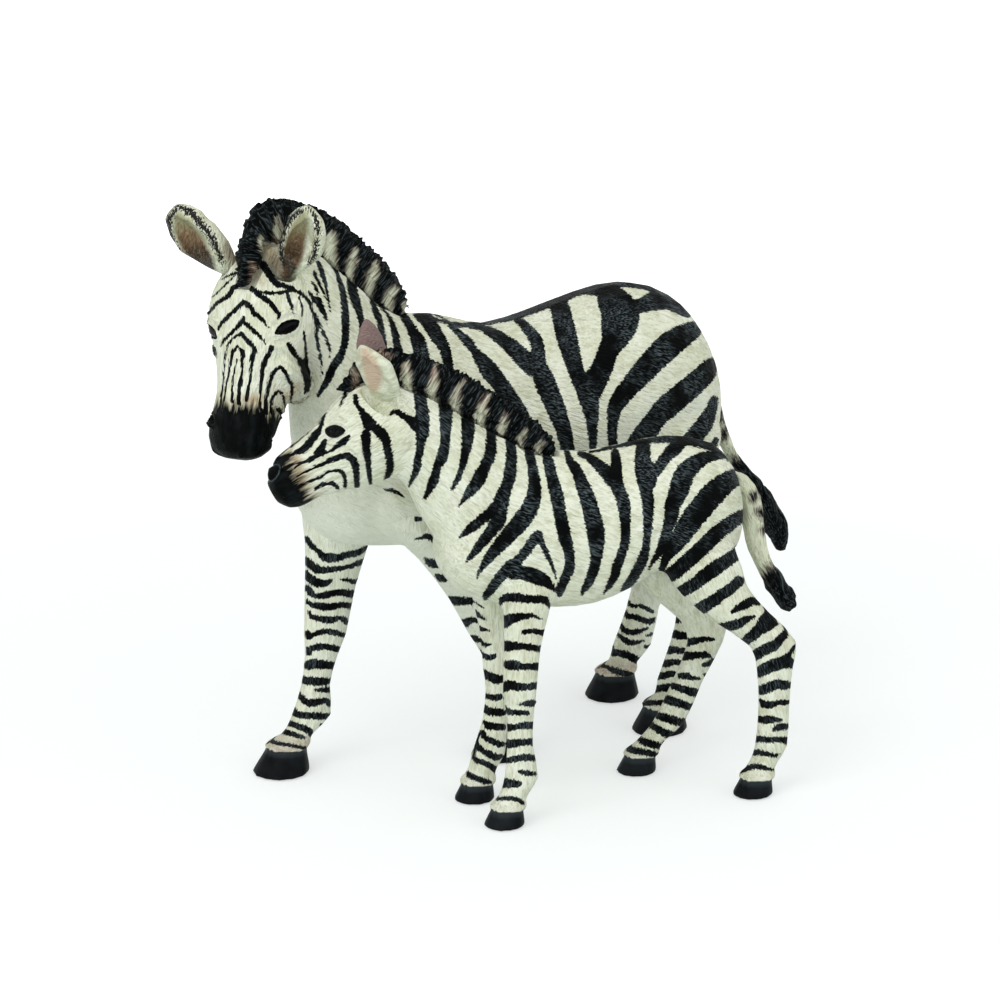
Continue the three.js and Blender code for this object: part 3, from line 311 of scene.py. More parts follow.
FOAL_LEG_STRIPES = {
    "foreleg_left": {
        "ring 1": [(497, 607, 3), (502, 600, 3.5), (515, 597.5, 5), (530, 599.5, 4), (545, 600, 4),
            (550, 609, 1)],
        "ring 2": [(502, 617, 3), (504, 622, 6.5), (512, 618.5, 5), (531, 615.5, 2.5), (541, 619, 1)],
        "ring 3": [(524, 632, 2.5), (531, 631, 2.5), (544, 633, 3.5)],
        "ring 4": [(505, 646, 5.5), (525, 646.5, 3.5), (540, 649, 3.5)],
        "ring 5": [(505.5, 662, 1.5), (508, 665, 4.5), (515, 665.5, 5), (523, 666.5, 3.5), (537, 666.5, 4)],
        "ring 6": [(504, 688, 4.5), (509, 685, 5), (517, 687, 4.5), (527, 687, 3.5), (538, 685.5, 4)],
        "ring 7, rear": [(518, 704.5, 1), (530, 703.5, 3.5), (535, 703, 3.5)],
        "ring 7": [(503.5, 706, 2), (506, 710, 3.5), (513, 712.5, 3), (528, 713, 2.5)],
        "ring 8": [(503, 726, 4), (508, 727.5, 4), (515, 727, 3), (523, 725.5, 3.5), (532, 725.5, 4)],
        "ring 9": [(503, 744, 3), (510, 744, 4.5), (527, 742, 3.5), (533, 742, 4)],
        "ring 10": [(501, 764, 2), (506, 761, 3), (523, 757.5, 3.5), (533, 758, 3.5)],
        "ring 11, rear": [(518, 771, 1), (523, 772.5, 2.5), (535, 774, 2.5)],
        "ring 11": [(499, 783, 4), (505, 783, 5), (517, 784, 3.5), (520, 783, 2)],
        "ring 12": [(491, 799, 1.5), (513, 798.5, 2.5), (523, 803, 2)],
    },
    "foreleg_right": {
        "elbow line": [(469, 599, .8), (476, 603, 1), (484, 608, .5)],
        "ring 1": [(471, 609, 2), (476, 613.5, 3), (486, 620, .8)],
        "ring 2": [(471.5, 624, 1.5), (477, 628, 3), (489, 630.5, 1.2)],
        "ring 3": [(477, 637, 1.5), (480, 642, 3), (485, 644.5, 2.5), (490, 644.5, 1.5)],
        "ring 4": [(480, 653, 2), (485, 656.5, 3), (490, 657.5, 3), (494.5, 656, 2.5)],
        "ring 5": [(479.5, 668, 2), (482, 672, 3.5), (495, 679, 5), (501, 679, 4)],
        "ring 6": [(483.5, 694, 2), (488, 696.5, 3), (495, 697.5, 3.5), (500.5, 697, 3)],
        "ring 7": [(484, 708, 4), (490, 711.5, 4), (502, 712.5, 4)],
        "ring 8": [(484.5, 722, 2), (489, 726, 4), (503, 727, 3.5)],
        "ring 9": [(483, 733, 3), (486, 738, 3), (499, 744, 3.5), (504, 744, 2)],
        "ring 10": [(476, 741, 3), (478, 747, 3), (490, 755, 3.5), (497, 757.5, 3.5), (502, 756, 2)],
        "ring 11": [(473.5, 756, 2), (476, 760, 3), (489, 765, 3), (494, 769, 3.5), (498, 773.5, 3)],
        "ring 12": [(468, 773, 2), (470.5, 776, 3), (484, 781, 3), (491, 782.5, 1.5)],
        "front line": [(481, 731, 1.5), (477, 739, 2), (473.5, 757, 1.5)],
    },
    "hindleg_left": {
        "ring 1, front": [(719.5, 645, 4.5), (724, 641.5, 4), (729, 640, 1.5)],
        "ring 1": [(736, 642, 1.5), (741, 645, 4), (747, 640, 5), (760, 629, 6.5), (767, 622, 9),
            (773, 618, 9), (777, 620, 6)],
        "ring 2": [(745, 655, 2), (750, 658, 5), (757, 654, 5.5), (770, 647, 5.5), (776, 644, 5),
            (791, 627, 3)],
        "ring 3": [(754, 670, 2), (758, 673, 5), (765, 669, 6), (779, 663.5, 6.5), (786, 662, 6.5),
            (791, 664, 5)],
        "ring 3, hock": [(786, 657, 3), (791, 652, 2.5), (795, 646, 1.5)],
        "ring 4": [(759, 687, 1.5), (762, 690, 5), (776, 684.5, 5), (783, 685, 5), (788, 685, 4)],
        "ring 5": [(760, 700, 1.5), (764, 704, 4), (771, 705, 3.5), (778, 703, 3), (787, 702, 3)],
        "ring 6": [(758, 719, 3.5), (764, 720, 4), (771, 719.5, 4), (783, 720, .5)],
        "ring 7": [(773, 730, 1.5), (778, 727.5, 3.5), (787, 726, 3)],
        "ring 8": [(752, 742, 2), (757, 739, 3.5), (771, 740, 3), (778, 739.5, 3), (785, 740.5, 3.5),
            (787, 743, 2)],
        "ring 9": [(750, 754, 2), (756, 752.5, 3), (770, 754.5, 2.5), (774, 756, 2), (779, 754, 1)],
        "ring 10": [(741, 771, 2.5), (755, 766.5, 3), (773, 770, 1.5)],
    },
    "hindleg_right": {
        "ring 1": [(679, 639, 1.5), (684, 642, 4.5), (692, 641.5, 4), (707, 639, 2.5), (713, 639.5, 2)],
        "ring 2": [(680, 652, 1.5), (684, 656, 4.5), (699, 655, 3.5), (707, 655, 3.5), (710, 657, 1.5)],
        "rear spot, upper": [(704, 665, 2), (714, 662, 4), (717, 660, 1.5)],
        "rear spot, lower": [(705, 675, 2), (708, 676, 2.5)],
        "ring 3": [(680, 676, 3), (686, 676, 3.5), (693, 678, 2.5), (700, 678.5, 1)],
        "ring 4": [(670, 684, 2), (676, 687, 3.5), (692, 692, 4.5), (699, 693, 4), (702, 690, 1.5)],
        "ring 5": [(664, 699, 3), (668, 700, 4.5), (684, 704.5, 4), (690, 707, 3.5), (693, 704, 1.5)],
        "ring 6": [(659, 716, 4), (673, 720, 4.5), (681, 722.5, 4), (686, 721, 3), (687, 727, 3),
            (684, 732, 1.5)],
        "ring 7": [(645, 718, 3), (648, 723, 3.5), (663, 732, 4), (671, 735, 4.5), (679, 736, 3.5),
            (682, 736, 2)],
        "ring 8": [(640, 739, 3), (645, 742, 4), (660, 746, 3.5), (664, 742, 1.5)],
        "ring 9": [(627, 747, 3), (632, 750, 3.5), (648, 753, 3.5), (662, 757, 3)],
    },
}

# Pale strokes on the dark manes
MARE_MANE_PALES = {
    "between the ears": [(276, 218, 2), (279, 230, 5), (281, 242, 4)],
    "forelock side": [(262, 236, 2), (266, 246, 4.5), (271, 258, 4)],
    "first": [(331, 236, 5.5), (331, 246, 8), (331, 258, 8.5), (332, 272, 7)],
    "second": [(356, 250, 3.5), (354, 262, 5.5), (351, 274, 5.5), (349, 290, 5)],
    "third": [(376, 266, 4.5), (373, 277, 6), (369, 302, 5)],
    "fourth": [(397, 288, 4), (392, 296, 6), (389, 306, 6.5), (388, 320, 5)],
    "last": [(407, 303, 3), (409, 314, 5)],
}
FOAL_MANE_PALES = {
    "forelock streak, front": [(345, 359, .6), (350, 368, .9), (355, 378, .8)],
    "forelock streak, rear": [(352, 366, .6), (357, 376, 1.2), (360, 387, 1)],
    "first": [(406, 361, 2), (407, 372, 5.5), (407, 384, 6.5), (409, 410, 5)],
    "second": [(436, 364, 2), (434, 378, 4.5), (431, 392, 5.5), (433, 405, 6), (434, 420, 6)],
    "third": [(463, 382, 2.5), (458, 392, 4.5), (455, 402, 5.5), (456, 415, 5.5)],
    "fourth": [(488, 396, 3), (484, 406, 5.5), (481, 416, 6.5), (479, 428, 6)],
    "fifth": [(506, 414, 2.5), (503, 424, 4.5), (501, 434, 5)],
    "sixth": [(526, 429, 2.5), (522, 438, 4), (520, 448, 4)],
    "seventh": [(543, 442, 2.5), (538, 450, 4), (536, 458, 4)],
}
TAIL_SPOTS = {
    "mare": {
        "dock spot, upper": [(721, 412, .6), (720, 418, 1.8), (720, 422, 1.2)],
        "dock spot, lower": [(725.5, 428, .6), (725, 434, 2.4), (724, 438, 1.4)],
    },
    "foal": {
        "dock spot, upper": [(757, 493, .8), (754, 497, 2.4), (753, 500, 1)],
        "dock spot, middle": [(760, 512, 2), (765, 516, 3.2), (768, 520, 1)],
        "dock spot, lower": [(764, 529, 1.5), (768, 532, 3.4), (770, 536, 1)],
    },
}
# Where the tail's tuft starts: across, down, and how steeply its edge climbs to the rear
TAIL_TUFT_EDGES = {"mare": (738, 458, 0.9), "foal": (763, 578, 1.1)}

# Eyes, nostrils and other places of the face, drawn in the same way
EYES = {
    "mare": {
        "left eye": [(276.5, 332.5, .2), (280.5, 330, 2.8), (286, 327.5, 4.6), (291.5, 325, 4.2),
            (295.5, 322.7, 2), (297.5, 321.5, .2)],
        "right eye": [(206.5, 324, .4), (208, 328, 2.8), (211.5, 332, 3.4), (214.5, 335.5, 1.6),
            (216.5, 337.5, .2)],
    },
    "foal": {
        "left eye": [(327, 430.8, .4), (330, 431.2, 4), (334, 431.4, 5.6), (338.5, 431, 4),
            (343.5, 430.5, .3)],
    },
}
NOSTRILS = {
    "mare": {
        "left nostril": [(276, 408, 1.4), (279.5, 411, 2.4), (282, 415, 1.4)],
        "right nostril": [(210, 414, 1.4), (211.5, 419, 2.4), (213, 423, 1.4)],
    },
    "foal": {
        "left nostril": [(271, 478, 2.6), (273, 473, 4.6), (276.5, 468, 3)],
    },
}
# Grooves and ridges of the faces: how far each stands out in millimetres, below 0 inwards, and
# its stroke
FACE_FORMS = {
    "mare": {
        "mouth": (-0.3, [(285, 411, .6), (281, 424, .9), (274, 438, .9), (262, 449, .6)]),
        "cheek fold, front": (-0.22, [(279, 369, .6), (287, 380, 1), (292, 396, .6)]),
        "cheek fold, rear": (-0.22, [(288, 366, .6), (296, 378, 1), (300, 394, .6)]),
        "cheek bone": (0.4, [(270, 346, 2), (281, 352, 4), (293, 366, 5), (298, 382, 3)]),
        "nose bridge": (0.25, [(243, 320, 4), (240, 350, 5), (237, 385, 5)]),
        "left eye hollow": (-0.35, [(276, 342, 2), (285, 341, 3), (295, 336, 2)]),
        "left brow": (0.5, [(272, 322, 3), (281, 315, 5), (291, 311, 4), (299, 314, 2)]),
        "right brow": (0.5, [(217, 320, 3), (211, 314, 4), (206, 312, 3)]),
        "right nostril rim": (0.5, [(208, 411, 4), (209, 419, 4), (212, 427, 3)]),
        "lower lip": (0.3, [(272, 446, 4), (255, 455, 5), (240, 456, 4)]),
    },
    "foal": {
        "mouth": (-0.3, [(302, 490, .7), (292, 493, .9), (284, 497, .8)]),
        "brow": (0.35, [(325, 421, 2.5), (334, 417, 3.5), (345, 421, 2.5)]),
        "eye hollow": (-0.3, [(324, 441, 1.5), (334, 444, 3), (345, 440, 2)]),
        "cheek bone": (0.35, [(338, 446, 3), (350, 452, 5), (358, 466, 4)]),
        "nostril rim": (0.35, [(268, 468, 2.5), (275, 463, 3.5), (281, 470, 3)]),
        "jaw edge": (-0.35, [(361, 441, 1.5), (362, 460, 2), (360, 478, 1.5)]),
    },
}
# The angle of the jaw, only on the side that the photograph shows
LEFT_FORMS = {
    "mare": {"jaw angle": (2.3, [(284, 368, 14), (296, 380, 22), (296, 388, 20)])},
    "foal": {},
}
# Brown patches: half width, softly edged
TAN_PATCHES = {
    "mare": {
        "behind the right ear": [(226, 248, 3), (233, 254, 7), (238, 262, 4)],
        "beside the left ear": [(262, 243, 3), (268, 251, 8), (275, 261, 8), (283, 271, 6)],
        "under the forelock": [(254, 268, 2), (257, 276, 4), (262, 283, 2)],
        "cheek, under the folds": [(276, 392, 3), (288, 396, 5), (298, 386, 4)],
        "nose": [(244, 398, 3), (252, 400, 6), (262, 398, 4)],
    },
    "foal": {
        "forelock root": [(356, 374, 2), (359, 384, 3), (360, 392, 1)],
        "nose": [(290, 455, 2), (297, 462, 5), (300, 474, 5), (302, 486, 4)],
    },
}

# The ears as the photograph shows them: hollow, flecked rim and the brown at the root, all in pixels
EAR_PAINTS = {
    "mare_ear_left": {
        "hollow": {
            "bowl": [(304, 214, 3), (300, 226, 8), (295, 243, 9.5), (291, 260, 9.5), (288, 274, 6)],
        },
        "flecks": {
            "right rim": [(310, 209, .8), (316, 219, 1.6), (318, 232, 1.8)],
            "right band": [(316, 240, 1.2), (315, 252, 2), (309, 264, 1.4)],
            "left rim": [(306, 208, .8), (296, 213, 2), (288, 223, 2.4), (282, 237, 2.2), (281, 252, 1.6),
                (284, 264, .8)],
        },
        "root": {
            "root": [(270, 250, 6), (275, 262, 8), (284, 277, 5)],
            "bowl, right": [(302, 240, 1.5), (301, 252, 3), (296, 262, 3)],
        },
    },
    "mare_ear_right": {
        "hollow": {
            "bowl": [(179, 217, 5), (185, 231, 10), (194, 247, 11), (204, 260, 9), (210, 268, 5)],
        },
        "flecks": {
            "left rim": [(176, 207, 1.6), (169, 220, 2.6), (170, 236, 3), (175, 248, 2.6), (185, 260, 1.8),
                (199, 270, .8)],
            "right rim": [(178, 206, 2), (188, 211, 3), (196, 218, 3), (206, 230, 2.8), (215, 244, 2.4),
                (222, 262, 1)],
        },
        "root": {
            "root": [(226, 244, 3), (232, 254, 9), (238, 266, 6)],
        },
    },
    "foal_ear_left": {
        "hollow": {
            "patch": [(364, 350, 3), (368, 360, 6.5), (372, 371, 8.5), (374, 381, 7.5), (374, 388, 4)],
        },
        "flecks": {},
        "root": {},
    },
    "foal_ear_right": {
        "hollow": {
            "all": [(368, 312, 26), (380, 345, 40)],
        },
        "flecks": {},
        "root": {},
    },
}
# The line of each mane's root, from the withers over the poll to the tip of the forelock
MANE_ROOTS = {
    "mare": [(412, 318), (392, 300), (372, 282), (352, 264), (332, 246), (312, 232), (290, 228), (268, 236),
        (256, 256), (250, 290)],
    "foal": [(560, 460), (520, 440), (480, 420), (440, 402), (412, 390), (390, 380), (366, 378), (352, 386),
        (348, 400)],
}
# The middle line of each tail, from the rump to its tip
TAIL_LINES = {
    "mare": [(716, 392), (724, 430), (738, 460), (758, 486), (774, 518), (782, 552)],
    "foal": [(746, 486), (754, 510), (759, 540), (765, 568), (778, 592), (790, 610)],
}
# Brown and pinkish hair in the manes
MARE_HAIR_TANS = {
    "behind the streak": [(284, 236, 3), (276, 246, 5), (268, 256, 4)],
    "forelock": [(252, 264, 3), (256, 274, 6), (254, 286, 4)],
}
FOAL_HAIR_TANS = {
    "behind the ear": [(372, 352, 2), (380, 352, 4), (388, 355, 3)],
    "forelock": [(352, 366, 1), (356, 378, 3), (354, 392, 2)],
}

# The figures: where each stands, in millimetres, and which way it faces, in degrees.
# The head's place is in the figure's own frame and the eye's in the head's.
FIGURES = {
    "mare": {
        "place": np.array([22.671, 19.701, 0.0]),
        "turn": 210.5,
        "head_place": np.array([65.4, -1.2, 82.6]),
        "head_turns": (("z", 32.0), ("x", 3.0), ("y", 67.0)),
        "side": MARE_SIDE_STRIPES,
        "head": MARE_HEAD_STRIPES,
        "legs": MARE_LEG_STRIPES,
        "pales": MARE_MANE_PALES,
        "hair_tans": MARE_HAIR_TANS,
        "hoof_top": 4.2,
        "hoof_spread": 0.13,
        # How much painted light the skin that faces down gets
        "underside": 0.85,
        "blush_reach": 3.6,
        "blushes": {"foreleg_right": 0.75, "hindleg_right": 0.95, "hindleg_left": 0.2},
        "muzzle_start": 21.6,
        "eye_place": np.array([9.4, 6.4, 2.1]),
        "eye_reach": 3.6,
        "mane_top": -6.0,
        "mane_lean": 0.12,
    },
    "foal": {
        "place": np.array([15.032, -17.179, 0.0]),
        "turn": 200.0,
        "head_place": np.array([32.0, 0.0, 64.7]),
        "head_turns": (("z", -16.0), ("y", 29.0)),
        "side": FOAL_SIDE_STRIPES,
        "head": FOAL_HEAD_STRIPES,
        "legs": FOAL_LEG_STRIPES,
        "pales": FOAL_MANE_PALES,
        "hair_tans": FOAL_HAIR_TANS,
        "hoof_top": 2.9,
        "hoof_spread": 0.06,
        "underside": 0.15,
        "blush_reach": 2.0,
        "blushes": {},
        "muzzle_start": 16.5,
        "eye_place": np.array([8.0, 4.1, 2.35]),
        "eye_reach": 3.2,
        "mane_top": -4.6,
        "mane_lean": -0.12,
    },
}
LEGS = ("foreleg_left", "foreleg_right", "hindleg_left", "hindleg_right")
COAT_PARTS = ("trunk", "neck", "head") + LEGS
EARS = ("ear_left", "ear_right")

# How each ear is shifted in the photograph: the levels between which that grows from its tip and
# goes back to nothing at its root, the line that its width is measured from, how much wider it
# gets, and the moves right and down, all in pixels
EAR_SHIFTS = {
    "mare_ear_left": ((200, 226, 256, 284), 295, -0.08, 8.5, 0),
    "mare_ear_right": ((202, 220, 250, 282), 200, 0.04, -8.5, 0),
    "foal_ear_left": ((340, 364, 430, 440), 372, 0.1, 5, 0),
    "foal_ear_right": ((300, 312, 345, 372), 372, -0.2, -2, -2),
}
# Where an ear starts to sink into the head, where it is all the way in, and how far in millimetres
EAR_SINKS = {
    "mare_ear_left": (268, 284, 0.8),
    "mare_ear_right": (262, 278, 0.6),
    "foal_ear_left": (376, 414, 5.0),
    "foal_ear_right": (360, 380, 0.5),
}

# How often the skin is evened out at an ear's root, and the pixels over which that sets in
EAR_ROOT_ROUNDS = 120
EAR_ROOT_LEAD = 12

# The way in which the mane's strands stand up, in the figure's own frame
MANE_RISE = np.array([-0.45, 0.0, 0.9])

# Way of the fur on each part, in the figure's own frame. On a head it goes away from the muzzle.
FUR_WAYS = {
    "trunk": (-1.0, 0.0, -0.45),
    "neck": (-0.75, 0.0, -0.65),
    "foreleg_left": (0.0, 0.0, -1.0),
    "foreleg_right": (0.0, 0.0, -1.0),
    "hindleg_left": (-0.3, 0.0, -1.0),
    "hindleg_right": (-0.3, 0.0, -1.0),
}


# What can be set in the sidebar


def length(name, description, default):
    """A length, in metres."""
    return FloatProperty(name=name, description=description, default=default, unit="LENGTH")


def paint(name, description, default):
    """The colour of a paint."""
    return FloatVectorProperty(name=name, description=description, default=default, subtype="COLOR",
                               min=0, max=1)


def number(name, description, default):
    """A plain number."""
    return FloatProperty(name=name, description=description, default=default)


def figure_choice(description):
    """Which of the two figures an operator works on."""
    return EnumProperty(name="Figure", description=description,
                        items=[(name, name.title(), "") for name in FIGURES])


class ZebraSizes(PropertyGroup):
    """Sizes of the sculpting."""

    joint_swell: length("Joint swell", "How far the mouldings grow to close up over their joints", 0.00046)
    coat_grain: length("Coat grain", "Spacing of the points that the coat is sculpted with", 0.0003)
    hair_grain: length("Hair grain", "Spacing of the points of manes and tails", 0.00016)
    ear_grain: length("Ear grain", "Spacing of the points of the ears", 0.00018)
    strand_depth: length("Strand depth", "Depth of the grooves between strands of hair", 0.00034)
    fur_depth: length("Fur depth", "Depth of the moulded strokes of fur", 0.00048)
    lid_height: length("Lid height", "How far the eyelids stand out", 0.0002)
    eye_bulge: length("Eye bulge", "How far the eyes swell between their lids", 0.00038)
    nostril_depth: length("Nostril depth", "Depth of the nostrils", 0.00045)


class ZebraColours(PropertyGroup):
    """Colours of the paints."""

    cream: paint("Cream", "Pale ground of the coat", (0.71, 0.745, 0.57))
    # Whiter cream: whiter places at random, painted highlights on the fur's hairs and painted light where
    # the skin faces down
    cream_light: paint("Light cream", "Whiter places of the coat", (0.83, 0.86, 0.73))
    # Greener cream: greener places at random and painted shade in the troughs of the moulded fur
    cream_shade: paint("Shaded cream", "Greener places of the coat", (0.54, 0.56, 0.39))
    black: paint("Black", "Stripes of the coat", (0.0013, 0.0019, 0.0019))
    # Blue-grey painted sheen on the black of stripes, manes and muzzle and a painted highlight atop the
    # hooves; it also rings the foal's nostrils
    worn_black: paint("Worn black", "Blue-grey hairs that show in the stripes", (0.085, 0.11, 0.12))
    brown: paint("Brown", "Where the black of the hair fades", (0.085, 0.05, 0.042))
    brown_wash: paint("Brown wash", "Thin brown over the coat before the muzzle", (0.55, 0.46, 0.38))
    tan: paint("Tan wash", "Thin brown over the nose and round the ears", (0.60, 0.46, 0.34))
    hoof: paint("Hoof", "Dark grey of the hooves", (0.004, 0.0045, 0.0055))
    blush: paint("Blush", "Pink-brown over the hooves and in the manes", (0.45, 0.34, 0.28))
    ear_deep: paint("Ear, deep", "Bottom of the mare's ears", (0.020, 0.010, 0.006))
    ear_rust: paint("Ear, rust", "Middle of the mare's ears", (0.17, 0.095, 0.045))
    ear_olive: paint("Ear, olive", "Top of the mare's ears", (0.33, 0.33, 0.19))
    ear_pink: paint("Ear, pink", "Hollow of the foal's near ear", (0.60, 0.46, 0.34))
    ear_mauve: paint("Ear, mauve", "Shaded hollow of the foal's far ear", (0.21, 0.135, 0.13))
    eye_brown: paint("Eye brown", "Warm glint in the black of the eyes", (0.004, 0.003, 0.002))


class ZebraStage(PropertyGroup):
    """The table and the light."""

    table_size: length("Table size", "Side of the table", 8.0)
    table_colour: paint("Table colour", "Colour of the table", (0.70, 0.755, 0.745))
    table_glow: number("Table glow", "How brightly the table shows white", 1.95)
    lamp_power: number("Lamp power", "Power of the main soft lamp, in watts", 4.1)
    room_light: number("Room light", "Strength of the light from all round", 0.76)


# Places and directions


def turned(axis, degrees):
    """A turn about one axis, as a matrix."""
    return np.array(Matrix.Rotation(math.radians(degrees), 3, axis.upper()))


def head_axes(figure):
    """The head's own axes: towards the muzzle, to its left and out of its crown."""
    axes = np.eye(3)
    for axis, degrees in figure["head_turns"]:
        axes = axes @ turned(axis, degrees)
    return axes


def to_figure(points, figure):
    """Places on the table, in millimetres, as places on the figure: ahead, to its left and up."""
    return (points - figure["place"]) @ turned("z", figure["turn"])


def from_figure(points, figure):
    """Places on the figure as places on the table."""
    return points @ turned("z", figure["turn"]).T + figure["place"]


def to_head(points, figure):
    """Places on the table as places on the figure's head."""
    return (to_figure(points, figure) - figure["head_place"]) @ head_axes(figure)


def from_head(points, figure):
    """Places on the figure's head as places on the table."""
    return from_figure(points @ head_axes(figure).T + figure["head_place"], figure)


def to_picture(points):
    """Where the photograph shows these places, in its pixels."""
    away = points - CAMERA_PLACE
    zoom = PICTURE_SIDE * CAMERA_LENS / CAMERA_SENSOR / (away @ CAMERA_FORWARD)
    middle = PICTURE_SIDE / 2
    return np.stack([middle + zoom * (away @ CAMERA_RIGHT), middle - zoom * (away @ CAMERA_UP)], 1)


def eased(values, low, high):
    """0 below low and 1 above high, with a smooth step between."""
    share = np.clip((values - low) / (high - low), 0, 1)
    return share * share * (3 - 2 * share)


def humped(values, middle, reach):
    """1 at the middle, easing to 0 a reach away on both sides."""
    return eased(1 - np.abs(values - middle) / reach, 0, 1)


# Waves of unevenness: seed, spacing and height, in millimetres. The fringe's spacing is in radians,
# and strands, bundles, locks and clumps are as high as a share of the strand depth.
WAVES = {
    "ring": (31, 1.4, 0.35),
    "fringe": (7, 0.16, 0.12),
    "mane bundles": (11, 1.1, 0.25),
    "mane strands": (12, 0.36, 0.85),
    "mane crest": (13, 0.75, 0.16),
    "mane tips": (14, 0.3, 0.34),
    "tail twist": (21, 2.2, 0.35),
    "tail strands": (22, 0.42, 0.6),
    "tail locks": (23, 1.1, 0.9),
    "tail clumps": (24, 1.7, 0.45),
}
WAVE_LEVELS = 512


def waves(name, values):
    """Soft unevenness along a line, up and down by the wave's height, the same at each call."""
    seed, spacing, height = WAVES[name]
    levels = np.random.default_rng(seed).uniform(-1, 1, WAVE_LEVELS) * height
    steps = values / spacing
    low = np.floor(steps).astype(int)
    share = eased(steps - low, 0, 1)
    return levels[low % WAVE_LEVELS] * (1 - share) + levels[(low + 1) % WAVE_LEVELS] * share


# Strokes of paint

# Steps of the curve from one read point to the next, and how many pixels outside it a stroke is felt
STROKE_STEPS = 4
STROKE_REACH = 14


def drawn(points):
    """A stroke's read points with a smooth curve between them."""
    rows = np.array(points, float)
    if len(rows) < 3:
        return rows
    ends = np.vstack([2 * rows[0] - rows[1], rows, 2 * rows[-1] - rows[-2]])
    curve = []
    for before, start, end, after in zip(ends, ends[1:], ends[2:], ends[3:]):
        for step in range(STROKE_STEPS):
            t = step / STROKE_STEPS
            curve.append(0.5 * (2 * start + (end - before) * t
                                + (2 * before - 5 * start + 4 * end - after) * t * t
                                + (3 * start - before - 3 * end + after) * t * t * t))
    curve.append(rows[-1])
    return np.array(curve)


def near_stroke(pixels, rows, reach):
    """The numbers of the pixel places in a box round a stroke."""
    low = rows[:, :2].min(0) - reach
    high = rows[:, :2].max(0) + reach
    return np.nonzero(((pixels > low) & (pixels < high)).all(1))[0]


def beside_stroke(spots, rows):
    """For each piece of a stroke, how far off the pixel places are and how wide it is there."""
    for start, end in zip(rows, rows[1:]):
        way = end[:2] - start[:2]
        share = np.clip((spots - start[:2]) @ way / max(way @ way, 1e-9), 0, 1)
        off = spots - start[:2] - share[:, None] * way
        yield np.hypot(off[:, 0], off[:, 1]), start[2] + share * (end[2] - start[2])


def painted(pixels, strokes):
    """How deep inside the strokes each pixel place is, in millimetres, and below 0 outside."""
    depth = np.full(len(pixels), -STROKE_REACH / PIXELS_PER_MM)
    for points in strokes.values():
        rows = drawn(points)
        near = near_stroke(pixels, rows, rows[:, 2].max() + STROKE_REACH)
        best = np.full(len(near), -np.inf)
        for apart, width in beside_stroke(pixels[near], rows):
            best = np.maximum(best, width - apart)
        depth[near] = np.maximum(depth[near], best / PIXELS_PER_MM)
    return depth


def pressed(pixels, forms):
    """The height of drawn ridges and grooves at each pixel place, in millimetres."""
    total = np.zeros(len(pixels))
    for height, points in forms.values():
        rows = drawn(points)
        near = near_stroke(pixels, rows, rows[:, 2].max())
        best = np.zeros(len(near))
        for apart, width in beside_stroke(pixels[near], rows):
            best = np.maximum(best, 1 - apart / width)
        total[near] += height * eased(best, 0, 1)
    return total


def along_line(pixels, line):
    """How far along a drawn line each pixel place lies, and how far beside it, in millimetres."""
    rows = drawn([point + (0,) for point in line])[:, :2]
    lengths = np.concatenate([[0], np.cumsum(np.hypot(*np.diff(rows, axis=0).T))])
    nearest = np.full(len(pixels), np.inf)
    along = np.zeros(len(pixels))
    beside = np.zeros(len(pixels))
    for start, end, begun in zip(rows, rows[1:], lengths):
        way = end - start
        length = np.hypot(*way)
        share = (pixels - start) @ way / length ** 2
        held = np.clip(share, 0, 1)
        off = pixels - start - held[:, None] * way
        apart = np.hypot(off[:, 0], off[:, 1])
        closer = apart < nearest
        nearest[closer] = apart[closer]
        along[closer] = begun + held[closer] * length
        beside[closer] = ((pixels - start) @ np.array([way[1], -way[0]]) / length)[closer]
    return along / PIXELS_PER_MM, beside / PIXELS_PER_MM


# Meshes


def select_only(*pieces):
    """Selects these pieces alone and makes the first the active one."""
    bpy.ops.object.select_all(action="DESELECT")
    for piece in pieces:
        piece.select_set(True)
    bpy.context.view_layer.objects.active = pieces[0]


def points_of(piece):
    """The piece's vertices in millimetres."""
    flat = np.empty(len(piece.data.vertices) * 3)
    piece.data.vertices.foreach_get("co", flat)
    return flat.reshape(-1, 3) / MM


def move_points(piece, points):
    """Puts the piece's vertices at these places, in millimetres."""
    piece.data.vertices.foreach_set("co", (points * MM).ravel())
    piece.data.update()


def normals_of(piece):
    """The way out of the skin at each vertex."""
    flat = np.empty(len(piece.data.vertices) * 3, np.float32)
    piece.data.vertex_normals.foreach_get("vector", flat)
    return flat.reshape(-1, 3).astype(float)


def store(piece, name, values):
    """Keeps a number or a place for each vertex, for the piece's material to read."""
    kind = "FLOAT_VECTOR" if values.ndim == 2 else "FLOAT"
    attribute = piece.data.attributes.get(name) or piece.data.attributes.new(name, kind, "POINT")
    attribute.data.foreach_set("vector" if values.ndim == 2 else "value",
                               values.astype(np.float32).ravel())


def apply_modifier(piece, kind, **settings):
    """Runs one modifier with these settings on the piece and keeps what it does."""
    select_only(piece)
    modifier = piece.modifiers.new(kind.title(), kind)
    for name, value in settings.items():
        setattr(modifier, name, value)
    bpy.ops.object.modifier_apply(modifier=modifier.name)


class Editing:
    """Edit mode on one piece, with all or none of it selected, or what was selected before."""

    def __init__(self, piece, action=None):
        self.piece = piece
        self.action = action

    def __enter__(self):
        select_only(self.piece)
        bpy.ops.object.mode_set(mode="EDIT")
        if self.action:
            bpy.ops.mesh.select_all(action=self.action)

    def __exit__(self, *error):
        bpy.ops.object.mode_set(mode="OBJECT")


def edge_ends(piece):
    """The two vertices of each edge."""
    ends = np.empty(len(piece.data.edges) * 2, int)
    piece.data.edges.foreach_get("vertices", ends)
    return ends.reshape(-1, 2)


